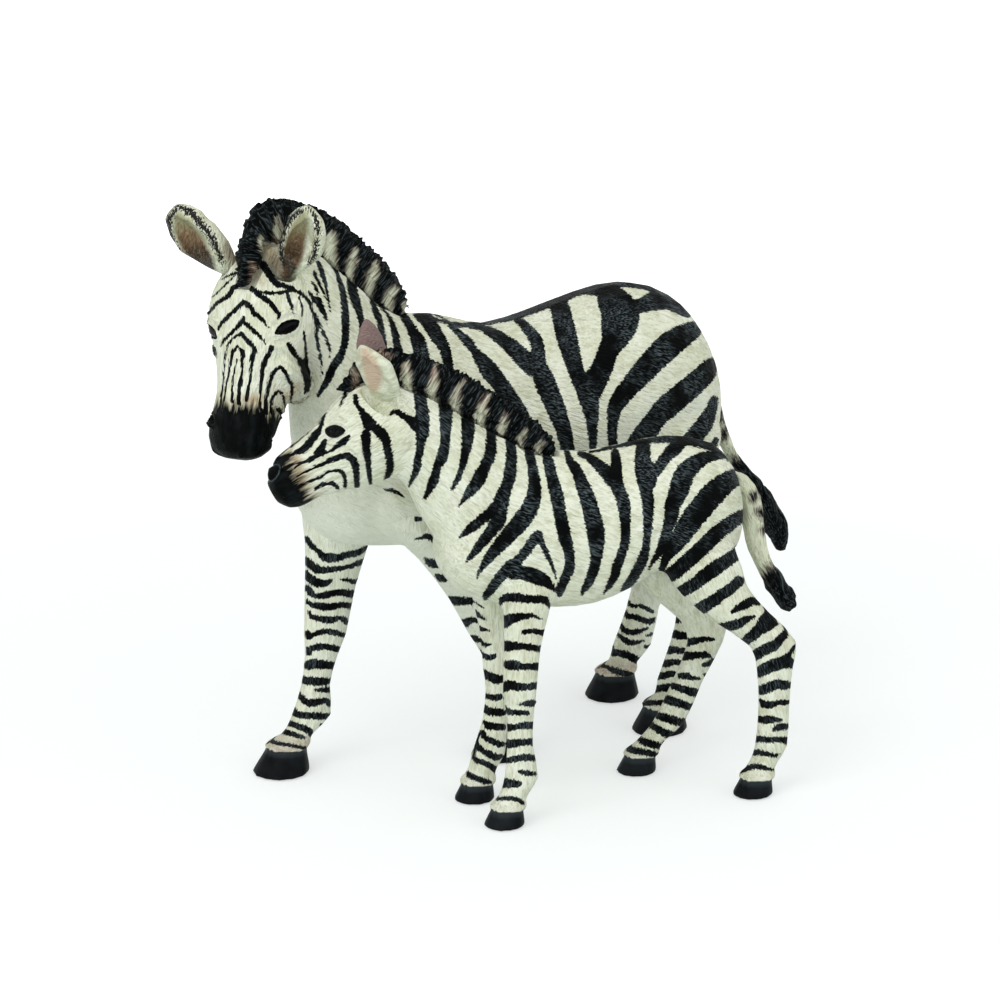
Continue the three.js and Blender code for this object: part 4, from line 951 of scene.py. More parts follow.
def softened(piece, weights, rounds):
    """Evens out the skin where the weights are, each round towards its neighbours' middle."""
    first, second = edge_ends(piece).T
    points = points_of(piece)
    inside = weights > 0
    kept = inside[first] | inside[second]
    first, second = first[kept], second[kept]
    count = len(points)
    links = np.maximum(np.bincount(first, minlength=count) + np.bincount(second, minlength=count), 1)
    for _ in range(rounds):
        middles = np.stack([
            (np.bincount(first, points[second, axis], count)
             + np.bincount(second, points[first, axis], count)) / links for axis in range(3)
        ], 1)
        points[inside] += (middles - points)[inside] * weights[inside, None]
    move_points(piece, points)


# How near to each other loose corners are joined up, in metres, and how strongly skins are smoothed
WELD_DISTANCE = 0.00001
SMOOTHING_FACTOR = 0.5


def node_copy(node, name):
    """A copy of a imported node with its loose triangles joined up. The node stays as it is."""
    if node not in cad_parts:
        raise RuntimeError(f"The packed model has no node {node}")
    copy = bpy.data.objects.new(name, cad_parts[node].data.copy())
    bpy.context.scene.collection.objects.link(copy)
    copy.data.materials.clear()
    with Editing(copy, "SELECT"):
        bpy.ops.mesh.remove_doubles(threshold=WELD_DISTANCE)
        bpy.ops.mesh.customdata_custom_splitnormals_clear()
    return copy


def swollen(piece, swell):
    """Moves the skin out by this much."""
    apply_modifier(piece, "DISPLACE", strength=swell, mid_level=0.0)


def remeshed(piece, grain, swell, smoothing):
    """Makes one even skin of a swollen piece, draws it back to size and smooths it."""
    apply_modifier(piece, "REMESH", mode="VOXEL", voxel_size=grain, use_smooth_shade=True)
    swollen(piece, -swell)
    apply_modifier(piece, "SMOOTH", factor=SMOOTHING_FACTOR, iterations=smoothing)


def finish_piece(piece, figure_name, slot, material, *nodes):
    """Gives the piece its material and smooth shading, hides its nodes and hangs it on its figure's body.
    """
    piece.data.materials.clear()
    piece.data.materials.append(material)
    select_only(piece)
    bpy.ops.object.shade_smooth()
    if nodes:
        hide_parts(*nodes)
    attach(piece, figure_name)


# Materials

# Noises of the paints: scale, how each is drawn out along the fur and across it, and detail
NOISES = {
    "fur": (1.0, (0.55, 2.6, 2.6), 2.5),
    "hairs": (1.0, (0.8, 5.2, 5.2), 2.0),
    "clouds": (0.22, (1.0, 1.0, 1.0), 3.0),
    "wisps": (0.5, (0.7, 1.5, 1.5), 3.0),
    "streaks": (1.0, (0.16, 1.5, 1.5), 3.0),
    "mane strands": (1.0, (0.09, 2.6, 1.3), 2.0),
    "mane hairs": (1.0, (0.14, 6.0, 3.0), 2.0),
    "ear strands": (1.0, (0.5, 2.8, 2.8), 3.0),
    "ear flecks": (1.0, (1.6, 4.8, 4.8), 2.0),
    "eye film": (2200.0, (1.0, 1.0, 1.0), 2.0),
}


def new_material(name):
    """A material, its node tree and its shader."""
    material = bpy.data.materials.new(name)
    material.use_nodes = True
    tree = material.node_tree
    return material, tree, tree.nodes["Principled BSDF"]


def feed(tree, socket, value):
    """Links a socket to another, or sets it to a number or a colour."""
    if isinstance(value, bpy.types.NodeSocket):
        tree.links.new(value, socket)
    elif isinstance(value, (int, float)):
        socket.default_value = value
    else:
        socket.default_value = (*value, 1.0)


def maths(tree, operation, first, second):
    """One operation on two values, each a number or a socket."""
    added = tree.nodes.new("ShaderNodeMath")
    added.operation = operation
    feed(tree, added.inputs[0], first)
    feed(tree, added.inputs[1], second)
    return added.outputs[0]


def plus(tree, first, second):
    return maths(tree, "ADD", first, second)


def minus(tree, first, second):
    return maths(tree, "SUBTRACT", first, second)


def times(tree, first, second):
    return maths(tree, "MULTIPLY", first, second)


def mixed(tree, share, first, second, blend="MIX"):
    """The first colour where the share is 0 and the second where it is 1."""
    added = tree.nodes.new("ShaderNodeMix")
    added.data_type = "RGBA"
    added.blend_type = blend
    for number, value in ((0, share), (6, first), (7, second)):
        feed(tree, added.inputs[number], value)
    return added.outputs[2]


def stepped(tree, value, low, high, most=1.0):
    """0 where the value is under low, and the most over high."""
    added = tree.nodes.new("ShaderNodeMapRange")
    added.inputs["From Min"].default_value = low
    added.inputs["From Max"].default_value = high
    added.inputs["To Max"].default_value = most
    tree.links.new(value, added.inputs["Value"])
    return added.outputs["Result"]


def read(tree, name, output="Fac"):
    """What is stored on the piece under this name."""
    added = tree.nodes.new("ShaderNodeAttribute")
    added.attribute_name = name
    return added.outputs[output]


def speckle(tree, place, name):
    """One of the noises, read at a place."""
    scale, stretch, detail = NOISES[name]
    mapping = tree.nodes.new("ShaderNodeMapping")
    mapping.inputs["Scale"].default_value = stretch
    tree.links.new(place, mapping.inputs["Vector"])
    noise = tree.nodes.new("ShaderNodeTexNoise")
    noise.inputs["Scale"].default_value = scale
    noise.inputs["Detail"].default_value = detail
    tree.links.new(mapping.outputs["Vector"], noise.inputs["Vector"])
    return noise.outputs["Fac"]


def relief(tree, shader, height, depth):
    """Raises the surface by the height, up to so many metres."""
    bump = tree.nodes.new("ShaderNodeBump")
    bump.inputs["Distance"].default_value = depth
    tree.links.new(height, bump.inputs["Height"])
    tree.links.new(bump.outputs["Normal"], shader.inputs["Normal"])


def ragged(tree, level, noise, width):
    """A level whose edge the noise shifts by up to half the width either way."""
    return plus(tree, level, times(tree, minus(tree, noise, 0.5), width))


def coat_ground(tree, fur, hairs, clouds, wisps, colours):
    """Cream with whiter and greener places, painted shade and highlight on the moulded fur, painted light
    below, and pink-brown over the hooves.
    """
    ground = mixed(tree, stepped(tree, clouds, 0.38, 0.66), colours.cream, colours.cream_light)
    ground = mixed(tree, stepped(tree, wisps, 0.5, 0.72), ground, colours.cream_shade)
    # Painted shade in the troughs of the moulded fur and painted highlight on its raised hairs
    ground = mixed(tree, stepped(tree, fur, 0.50, 0.38, 0.6), ground, colours.cream_shade)
    ground = mixed(tree, stepped(tree, hairs, 0.55, 0.66, 0.75), ground, colours.cream_light)
    # Painted light: whiter where the skin faces down, lifting the shade under chest, belly and legs
    ground = mixed(tree, read(tree, "under"), ground, colours.cream_light)
    blush = times(tree, read(tree, "blush"), stepped(tree, fur, 0.3, 0.6))
    return mixed(tree, blush, ground, colours.blush)


def coat_stripes(tree, fur, hairs, clouds, ground, colours):
    """Black strokes on the ground, with ragged edges and a painted sheen of blue-grey hairs in places."""
    ink = ragged(tree, ragged(tree, read(tree, "ink"), hairs, 0.8), fur, 0.4)
    worn = times(tree, stepped(tree, hairs, 0.47, 0.66),
                 times(tree, stepped(tree, clouds, 0.40, 0.60), read(tree, "worn")))
    dark = mixed(tree, worn, colours.black, colours.worn_black)
    return mixed(tree, stepped(tree, ink, -0.035, 0.035), ground, dark)


def muzzle_skin(tree, wisps, colours):
    """Black, with a faint painted sheen of blue-grey in places."""
    muzzle_sheen = mixed(tree, 0.07, colours.black, colours.worn_black)
    return mixed(tree, stepped(tree, wisps, 0.45, 0.75), colours.black, muzzle_sheen)


def hoof_horn(tree, clouds, colours):
    """Dark grey, paler in places, with a painted highlight fading down from the top of the horn."""
    paler = mixed(tree, 0.12, colours.hoof, colours.worn_black)
    horn = mixed(tree, stepped(tree, clouds, 0.3, 0.75), colours.hoof, paler)
    # Painted highlight: blue-grey at the top of the horn, fading downwards
    return mixed(tree, stepped(tree, read(tree, "hoof"), 1.1, 0.0), horn,
                 mixed(tree, 0.35, horn, colours.worn_black))


def coat_material(name, colours, sizes):
    """Cream plastic with black stripes, whose edges break up along the moulded fur."""
    material, tree, shader = new_material(name)
    shader.inputs["Specular IOR Level"].default_value = 0.03
    grain = read(tree, "grain", "Vector")
    fur, hairs, clouds, wisps, streaks = (
        speckle(tree, grain, noise) for noise in ("fur", "hairs", "clouds", "wisps", "streaks"))
    ground = coat_ground(tree, fur, hairs, clouds, wisps, colours)
    colour = coat_stripes(tree, fur, hairs, clouds, ground, colours)
    tan = ragged(tree, read(tree, "tan"), fur, 1.4)
    colour = mixed(tree, stepped(tree, tan, -0.6, 0.8, 0.8), colour, colours.tan, "MULTIPLY")
    muzzle = ragged(tree, ragged(tree, read(tree, "muzzle"), streaks, 5.5), hairs, 1.6)
    colour = mixed(tree, stepped(tree, muzzle, -2.4, -0.2, 0.8), colour, colours.brown_wash, "MULTIPLY")
    colour = mixed(tree, stepped(tree, muzzle, -0.9, 0.5), colour, muzzle_skin(tree, wisps, colours))
    colour = mixed(tree, read(tree, "ring"), colour, colours.worn_black)
    hoof = stepped(tree, ragged(tree, read(tree, "hoof"), hairs, 0.3), -0.08, 0.08)
    colour = mixed(tree, hoof, colour, hoof_horn(tree, clouds, colours))
    tree.links.new(colour, shader.inputs["Base Color"])
    rough = plus(tree, times(tree, fur, 0.2), 0.42)
    rough = minus(tree, rough, times(tree, hoof, 0.14))
    rough = minus(tree, rough, stepped(tree, muzzle, 0.0, 1.0, 0.12))
    tree.links.new(rough, shader.inputs["Roughness"])
    bare = maths(tree, "MAXIMUM", hoof, stepped(tree, muzzle, 0.0, 1.0, 0.75))
    height = plus(tree, fur, times(tree, hairs, 0.4))
    relief(tree, shader, times(tree, height, minus(tree, 1.0, bare)), sizes.fur_depth)
    return material


def hair_material(name, colours, sizes):
    """Dark paint with paler brown-cream patches, for manes, forelocks and tail tufts."""
    material, tree, shader = new_material(name)
    shader.inputs["Specular IOR Level"].default_value = 0.03
    grain = read(tree, "grain", "Vector")
    strands = speckle(tree, grain, "mane strands")
    hairs = speckle(tree, grain, "mane hairs")
    ink = ragged(tree, ragged(tree, read(tree, "ink"), strands, 1.5), hairs, 1.5)
    # Painted sheen: blue-grey hairs in the black
    dark = mixed(tree, stepped(tree, hairs, 0.54, 0.64, 0.5), colours.black, colours.worn_black)
    pale = mixed(tree, stepped(tree, hairs, 0.52, 0.66), colours.cream, colours.cream_shade)
    lift = times(tree, read(tree, "lift"), stepped(tree, strands, 0.35, 0.6))
    pale = mixed(tree, lift, pale, colours.blush)
    colour = mixed(tree, stepped(tree, ink, -0.9, -0.1, 0.8), pale, colours.brown)
    colour = mixed(tree, stepped(tree, ink, -0.2, 0.15), colour, dark)
    tan = ragged(tree, read(tree, "tan"), strands, 1.6)
    browns = mixed(tree, stepped(tree, hairs, 0.46, 0.62), colours.brown, colours.tan)
    colour = mixed(tree, stepped(tree, tan, -0.4, 0.6, 0.75), colour, browns)
    tree.links.new(colour, shader.inputs["Base Color"])
    tree.links.new(plus(tree, times(tree, strands, 0.25), 0.40), shader.inputs["Roughness"])
    relief(tree, shader, plus(tree, strands, times(tree, hairs, 0.5)), sizes.fur_depth)
    return material


# Colours of the hollows of the ears at the bottom, in the middle and at the top. The foal's near ear
# has only its top colour and its far ear only the others, a mauve that paints the pink hollow in shade.
EAR_COLOURS = {
    "mare ear": ("ear_deep", "ear_rust", "ear_olive"),
    "foal ear": ("ear_mauve", "ear_mauve", "ear_pink"),
}


def ear_material(name, colours, sizes):
    """Cream rim with black flecks, and the hollow in its own three colours."""
    material, tree, shader = new_material(name)
    low, middle, high = (getattr(colours, colour) for colour in EAR_COLOURS[name])
    shader.inputs["Specular IOR Level"].default_value = 0.25
    grain = read(tree, "grain", "Vector")
    strands = speckle(tree, grain, "ear strands")
    flecks = speckle(tree, grain, "ear flecks")
    wisps = speckle(tree, grain, "wisps")
    colour = mixed(tree, stepped(tree, strands, 0.42, 0.7), colours.cream, colours.cream_light)
    colour = mixed(tree, stepped(tree, wisps, 0.42, 0.62), colour, colours.cream_shade)
    rise = ragged(tree, read(tree, "rise"), strands, 0.5)
    inside = mixed(tree, stepped(tree, rise, 0.30, 0.58), low, middle)
    inside = mixed(tree, stepped(tree, rise, 0.56, 0.84), inside, high)
    inside = mixed(tree, stepped(tree, flecks, 0.45, 0.65, 0.15), inside, colours.cream_shade)
    hollow = ragged(tree, read(tree, "hollow"), strands, 0.8)
    colour = mixed(tree, stepped(tree, hollow, -0.4, 0.35), colour, inside)
    root = ragged(tree, read(tree, "root"), strands, 0.9)
    colour = mixed(tree, stepped(tree, root, -0.4, 0.8, 0.7), colour, middle)
    ink = ragged(tree, read(tree, "ink"), flecks, 2.8)
    colour = mixed(tree, stepped(tree, ink, -0.2, 0.0), colour, colours.black)
    tree.links.new(colour, shader.inputs["Base Color"])
    tree.links.new(plus(tree, times(tree, strands, 0.2), 0.48), shader.inputs["Roughness"])
    relief(tree, shader, strands, sizes.fur_depth)
    return material


def eye_material(name, colours, sizes):
    """Black gloss paint of the eyes."""
    material, tree, shader = new_material(name)
    shader.inputs["Specular IOR Level"].default_value = 0.06
    film = speckle(tree, tree.nodes.new("ShaderNodeTexCoord").outputs["Object"], "eye film")
    colour = mixed(tree, stepped(tree, film, 0.45, 0.75), colours.black, colours.eye_brown)
    tree.links.new(colour, shader.inputs["Base Color"])
    tree.links.new(plus(tree, times(tree, film, 0.06), 0.06), shader.inputs["Roughness"])
    return material


MATERIAL_MAKERS = {
    "zebra coat": coat_material,
    "zebra hair": hair_material,
    "mare ear": ear_material,
    "foal ear": ear_material,
    "gloss eye": eye_material,
}


def material_named(name):
    """The material of that name, made the first time that it is asked for."""
    scene = bpy.context.scene
    made = bpy.data.materials.get(name)
    return made or MATERIAL_MAKERS[name](name, scene.zebra_colours, scene.zebra_sizes)


# The coat

# How deep a part's rim turns in at a joint, in millimetres, and how much painted sheen its black gets
RIM_DEPTH = 0.5
SHEEN_SHARES = {"trunk": 1.0, "neck": 0.9, "head": 0.25}
LEG_SHEEN_SHARE = 0.7

# Rounds in which each face takes the part of its neighbourhood and stray patches are given away
VOTE_ROUNDS = 6
PATCH_ROUNDS = 4

# How many rings of points on both sides of a joint are evened out
JOINT_RINGS = 9

# How often the skin is evened out at joints, eyes and hooves and all over, and how strongly
JOINT_ROUNDS = 40
EYE_ROUNDS = 60
HOOF_ROUNDS = 14
COAT_SMOOTHING = 4
EVENING = 0.8
HOOF_EVENING = 0.6

# The depth of a paint where there is none of it, in millimetres, and what a part of the coat has
# of each paint if nothing else is said
UNPAINTED = -9.0
COAT_PAINTS = {"muzzle": UNPAINTED, "tan": UNPAINTED, "hoof": UNPAINTED, "blush": 0.0, "ring": 0.0}
LEG_BLUSH = 0.15

# Rings round the mare's legs, in millimetres: how far apart they are and how that grows with their
# height, half their width, how they tilt, and how near the hoof and how high up they go
RING_SPACING = 2.3
RING_GROWTH = 0.85
RING_HALF_WIDTH = 0.8
RING_TILT = 0.15
RING_START = 1.5
RING_TOP = 37.0

# Rings keep clear of drawn strokes: how far, from and to, and by how much they are pushed under
RING_CLEARANCE = (-2.1, -1.7)
RING_PUSH = 3.0

# How far the skin faces down where the painted light on the underside sets in and where it is whole
UNDERLIGHT_FACING = (-0.35, 0.3)

# Forms of the heads, in millimetres: how deep an eye's socket is and how far a nostril's rim stands
# out. The gloss of an eye starts at this depth inside its drawn edge, below 0 because that is just
# outside. It stands out so far there, is round over so much of its width, and has black paint so
# far round it.
SOCKET_DEPTH = 0.12
NOSTRIL_RIM = 0.16
EYE_EDGE = -0.06
EYE_RISE = 0.04
EYE_ROUNDING = 0.7
EYE_LINE = 0.24
EYE_LINE_SHARPNESS = 3

# Where the forms of the heads lie, as depths inside the drawn eyes and nostrils in millimetres:
# hollows from where to where, and ridges round which middle and how far to both sides
SOCKET_EDGE = (-0.1, 0.15)
LID_RIDGE = (-0.32, 0.34)
NOSTRIL_EDGE = (-0.1, 0.4)
NOSTRIL_RIDGE = (-0.25, 0.3)
NOSTRIL_RING = (-0.1, 0.13)

# How thick the gloss of an eye is, in metres
EYE_SHELL = 0.0004

# Forms of the hooves, in millimetres: how far the hair over the horn stands out and where, how far
# the horn steps in and where, how near the horn's top the skin is evened out, how high the rounded
# edge of the sole is and by which share it is drawn in
HAIR_RISE = 0.3
HAIR_RIDGE = (0.35, 0.85)
HORN_STEP = 0.14
HORN_EDGE = (0.1, -0.15)
HOOF_TOP_REACH = 0.5
SOLE_HEIGHT = 0.5
SOLE_SHARE = 0.05


def nearest_parts(piece, prefix):
    """For each vertex, the number of the coat part whose moulding is nearest."""
    corners = []
    triangles = []
    owners = []
    for number, part in enumerate(COAT_PARTS):
        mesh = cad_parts[f"{prefix}_{part}"].data
        start = len(corners)
        corners.extend(vertex.co.copy() for vertex in mesh.vertices)
        mesh.calc_loop_triangles()
        for triangle in mesh.loop_triangles:
            triangles.append(tuple(start + corner for corner in triangle.vertices))
            owners.append(number)
    tree = BVHTree.FromPolygons(corners, triangles)
    find = tree.find_nearest
    return np.array([owners[find(vertex.co)[2]] for vertex in piece.data.vertices])


def face_corners(piece):
    """The face and the vertex of each face corner."""
    mesh = piece.data
    starts = np.empty(len(mesh.polygons), int)
    totals = np.empty(len(mesh.polygons), int)
    vertices = np.empty(len(mesh.loops), int)
    mesh.polygons.foreach_get("loop_start", starts)
    mesh.polygons.foreach_get("loop_total", totals)
    mesh.loops.foreach_get("vertex_index", vertices)
    return np.repeat(np.arange(len(starts)), totals), vertices


def settled_faces(piece, parts):
    """One part for each face: the one that most of its neighbourhood has, in whole patches."""
    faces, vertices = face_corners(piece)
    face_count = len(piece.data.polygons)
    point_count = len(piece.data.vertices)
    count = len(COAT_PARTS)
    votes = np.zeros((face_count, count))
    np.add.at(votes, (faces, parts[vertices]), 1)
    labels = votes.argmax(1)
    for _ in range(VOTE_ROUNDS):
        at_points = np.zeros((point_count, count))
        np.add.at(at_points, (vertices, labels[faces]), 1)
        votes = np.zeros((face_count, count))
        np.add.at(votes, faces, at_points[vertices])
        labels = votes.argmax(1)
    return whole_patches(piece, labels, faces, vertices)


def whole_patches(piece, labels, faces, vertices):
    """Gives every small patch that lies apart from its part's main one to the part round it."""
    edges = np.empty(len(piece.data.loops), int)
    piece.data.loops.foreach_get("edge_index", edges)
    order = np.argsort(edges, kind="stable")
    same = edges[order][1:] == edges[order][:-1]
    first = faces[order][:-1][same]
    second = faces[order][1:][same]
    for _ in range(PATCH_ROUNDS):
        linked = labels[first] == labels[second]
        patch = patches(len(labels), first[linked].tolist(), second[linked].tolist())
        sizes = np.bincount(patch, minlength=len(labels))
        main = {label: patch[labels == label][sizes[patch[labels == label]].argmax()]
                for label in np.unique(labels)}
        apart = np.array([main[label] for label in labels]) != patch
        if not apart.any():
            return labels
        for a, b in ((first, second), (second, first)):
            spread = apart[a] & ~apart[b]
            labels[a[spread]] = labels[b[spread]]
        for a, b in ((first, second), (second, first)):
            spread = apart[a] & apart[b] & (labels[a] != labels[b])
            labels[a[spread]] = labels[b[spread]]
    return labels


def patches(count, first, second):
    """The patch of linked faces that each face is in."""
    parent = list(range(count))

    def root(face):
        while parent[face] != face:
            parent[face] = parent[parent[face]]
            face = parent[face]
        return face

    for a, b in zip(first, second):
        parent[root(b)] = root(a)
    return np.array([root(face) for face in range(count)])


def joint_weights(piece, labels):
    """How near each vertex is to a joint between two parts: 1 on it, 0 some rings away."""
    faces, vertices = face_corners(piece)
    count = len(piece.data.vertices)
    lowest = np.full(count, len(COAT_PARTS))
    highest = np.full(count, -1)
    np.minimum.at(lowest, vertices, labels[faces])
    np.maximum.at(highest, vertices, labels[faces])
    weights = (lowest != highest).astype(float)
    first, second = edge_ends(piece).T
    for _ in range(JOINT_RINGS):
        spread = weights - 1 / JOINT_RINGS
        np.maximum.at(weights, first, spread[second])
        np.maximum.at(weights, second, spread[first])
    return np.clip(weights, 0, 1)


def mirrored_left(points, figure):
    """Places on the figure's right side brought over to its left."""
    local = to_figure(points, figure)
    local[:, 1] = np.abs(local[:, 1])
    return from_figure(local, figure)


def banded(points, figure):
    """Stripes round a leg, closer together towards the hoof, as depths in millimetres."""
    ahead = to_figure(points, figure)[:, 0]
    height = points[:, 2]
    tilted = height + RING_TILT * (ahead - ahead.mean()) + waves("ring", ahead)
    rows = np.maximum(tilted, 0) ** RING_GROWTH / RING_SPACING
    spacing = RING_SPACING / RING_GROWTH * np.maximum(tilted, 1) ** (1 - RING_GROWTH)
    inside = np.minimum(height - figure["hoof_top"] - RING_START, RING_TOP - height)
    return np.minimum(RING_HALF_WIDTH - np.abs(rows - np.round(rows)) * spacing, inside)


# Levels at which the middle of a leg is looked for
LEG_LEVELS = 25


def folded_forward(points):
    """A leg's places with its far side brought over to the side that the camera sees."""
    folded = points.copy()
    levels = np.linspace(points[:, 2].min(), points[:, 2].max(), LEG_LEVELS)
    middles = []
    for low, high in zip(levels, levels[1:]):
        there = points[(points[:, 2] >= low) & (points[:, 2] <= high), 1]
        middles.append((there.min() + there.max()) / 2 if len(there) else np.nan)
    middles = np.array(middles)
    known = ~np.isnan(middles)
    centres = (levels[1:] + levels[:-1]) / 2
    middle = np.interp(points[:, 2], centres[known], middles[known])
    folded[:, 1] = middle - np.abs(points[:, 1] - middle)
    return folded


# How far over a figure's middle its left side sets in, in millimetres, and how squarely the skin
# has to face the camera before the photograph is read straight
LEFT_EASE = 2.0
SEEN_FACING = 0.2


class SeenPlaces:
    """Reads drawings of a figure: straight where the photograph shows it, mirrored where it can't."""

    def __init__(self, points, normals, figure, into, out_of):
        own = into(points, figure)
        self.left = eased(own[:, 1], 0.0, LEFT_EASE)
        facing = -(normals @ CAMERA_FORWARD)
        self.share = np.where(own[:, 1] > 0, 1.0, eased(facing, 0.0, SEEN_FACING))
        own[:, 1] = np.abs(own[:, 1])
        self.straight = to_picture(points)
        self.flipped = to_picture(out_of(own, figure))

    def of(self, measure, drawing):
        return (measure(self.straight, drawing) * self.share
                + measure(self.flipped, drawing) * (1 - self.share))


def fur_places(points, part, figure):
    """Places in millimetres with the first axis along the fur of the part."""
    along = -head_axes(figure)[:, 0] if part == "head" else np.array(FUR_WAYS[part])
    along = along / np.linalg.norm(along)
    across = np.cross(along, (0.0, 1.0, 0.0))
    across /= np.linalg.norm(across)
    return to_figure(points, figure) @ np.stack([along, across, np.cross(along, across)], 1)


def cut_into_parts(coat, prefix, labels):
    """Cuts the skin along the joints and returns the parts by name."""
    coat.data.materials.clear()
    for part in COAT_PARTS:
        coat.data.materials.append(bpy.data.materials.new(f"{prefix} {part} mark"))
    coat.data.polygons.foreach_set("material_index", labels.astype(np.int32))
    with Editing(coat, "SELECT"):
        bpy.ops.mesh.separate(type="MATERIAL")
    parts = {}
    for piece in list(bpy.context.selected_objects):
        number = piece.data.polygons[0].material_index
        if len(piece.data.materials) == 1:
            number = COAT_PARTS.index(piece.data.materials[0].name.split(" ")[1])
        parts[COAT_PARTS[number]] = piece
    for part in COAT_PARTS:
        if part not in parts:
            raise RuntimeError(f"The coat of the {prefix} has no {part}")
    return parts


def closed_at_joints(piece):
    """Turns the open rims of a part inwards with a sharp edge round each, and closes them there."""
    count = len(piece.data.vertices)
    normals = normals_of(piece)
    with Editing(piece, "DESELECT"):
        bpy.ops.mesh.select_mode(type="EDGE")
        bpy.ops.mesh.select_non_manifold(extend=False)
        bpy.ops.mesh.mark_sharp()
        bpy.ops.mesh.extrude_edges_indiv()
    points = points_of(piece)
    ends = np.sort(edge_ends(piece), 1)
    old, new = ends[(ends[:, 0] < count) & (ends[:, 1] >= count)].T
    points[new] = points[old] - normals[old] * RIM_DEPTH
    move_points(piece, points)
    with Editing(piece, "DESELECT"):
        bpy.ops.mesh.select_non_manifold(extend=False)
        bpy.ops.mesh.fill_holes(sides=0)
        bpy.ops.mesh.select_all(action="SELECT")
        bpy.ops.mesh.normals_make_consistent(inside=False)
        bpy.ops.mesh.quads_convert_to_tris()


def sculpt_head(piece, figure_name, sizes):
    """Evens out the eye bumps, makes the skin finer and presses in the forms of the face."""
    figure = FIGURES[figure_name]
    in_head = to_head(points_of(piece), figure)
    in_head[:, 1] = np.abs(in_head[:, 1])
    apart = np.linalg.norm(in_head - figure["eye_place"], axis=1)
    softened(piece, eased(apart, figure["eye_reach"], figure["eye_reach"] / 2) * EVENING, EYE_ROUNDS)
    with Editing(piece, "SELECT"):
        bpy.ops.mesh.subdivide(number_cuts=1, smoothness=0.0)
    points = points_of(piece)
    normals = normals_of(piece)
    picture = SeenPlaces(points, normals, figure, to_head, from_head)
    eye = picture.of(painted, EYES[figure_name])
    height = picture.of(pressed, FACE_FORMS[figure_name])
    height += pressed(picture.straight, LEFT_FORMS[figure_name]) * picture.left
    height += sizes.lid_height / MM * humped(eye, *LID_RIDGE)
    height -= SOCKET_DEPTH * eased(eye, *SOCKET_EDGE)
    nostril = picture.of(painted, NOSTRILS[figure_name])
    height -= sizes.nostril_depth / MM * eased(nostril, *NOSTRIL_EDGE)
    height += NOSTRIL_RIM * humped(nostril, *NOSTRIL_RIDGE)
    move_points(piece, points + normals * height[:, None])
    return eye


def make_eyes(head, figure_name, eye, sizes):
    """Gloss balls in the sockets: the skin inside the lids, raised and given a thickness."""
    balls = head.copy()
    balls.data = head.data.copy()
    balls.name = f"{figure_name}_eyes"
    bpy.context.scene.collection.objects.link(balls)
    points = points_of(balls)
    normals = normals_of(balls)
    bulge = np.sqrt(np.clip((eye - EYE_EDGE) / EYE_ROUNDING, 0, 1))
    rise = EYE_RISE + sizes.eye_bulge / MM * bulge
    move_points(balls, points + normals * rise[:, None])
    balls.data.vertices.foreach_set("select", eye < EYE_EDGE)
    balls.data.edges.foreach_set("select", np.zeros(len(balls.data.edges), bool))
    balls.data.polygons.foreach_set("select", np.zeros(len(balls.data.polygons), bool))
    with Editing(balls):
        bpy.ops.mesh.select_mode(type="VERT")
        bpy.ops.mesh.delete(type="VERT")
    apply_modifier(balls, "SOLIDIFY", thickness=EYE_SHELL, offset=-1.0)
    finish_piece(balls, figure_name, "coat", material_named("gloss eye"))


def sculpt_hoof(piece, figure):
    """Hair that overhangs the hoof's top, a step in to the horn, and a rounded sole edge."""
    top = figure["hoof_top"]
    near_top = eased(points_of(piece)[:, 2], top + HOOF_TOP_REACH, top - HOOF_TOP_REACH)
    softened(piece, near_top * HOOF_EVENING, HOOF_ROUNDS)
    points = points_of(piece)
    normals = normals_of(piece)
    centre = points[points[:, 2] < top].mean(0)
    around = np.arctan2(points[:, 1] - centre[1], points[:, 0] - centre[0])
    over = points[:, 2] - top + waves("fringe", around + math.pi)
    height = HAIR_RISE * humped(over, *HAIR_RIDGE) - HORN_STEP * eased(over, *HORN_EDGE)
    points += normals * (1, 1, 0) * height[:, None]
    spread = 1 + figure["hoof_spread"] * eased(points[:, 2], top, SOLE_HEIGHT)
    spread -= SOLE_SHARE * eased(points[:, 2], SOLE_HEIGHT, 0.0)
    points[:, :2] = centre[:2] + (points[:, :2] - centre[:2]) * spread[:, None]
    points[:, 2] = np.maximum(points[:, 2], 0.0)
    move_points(piece, points)
    return over


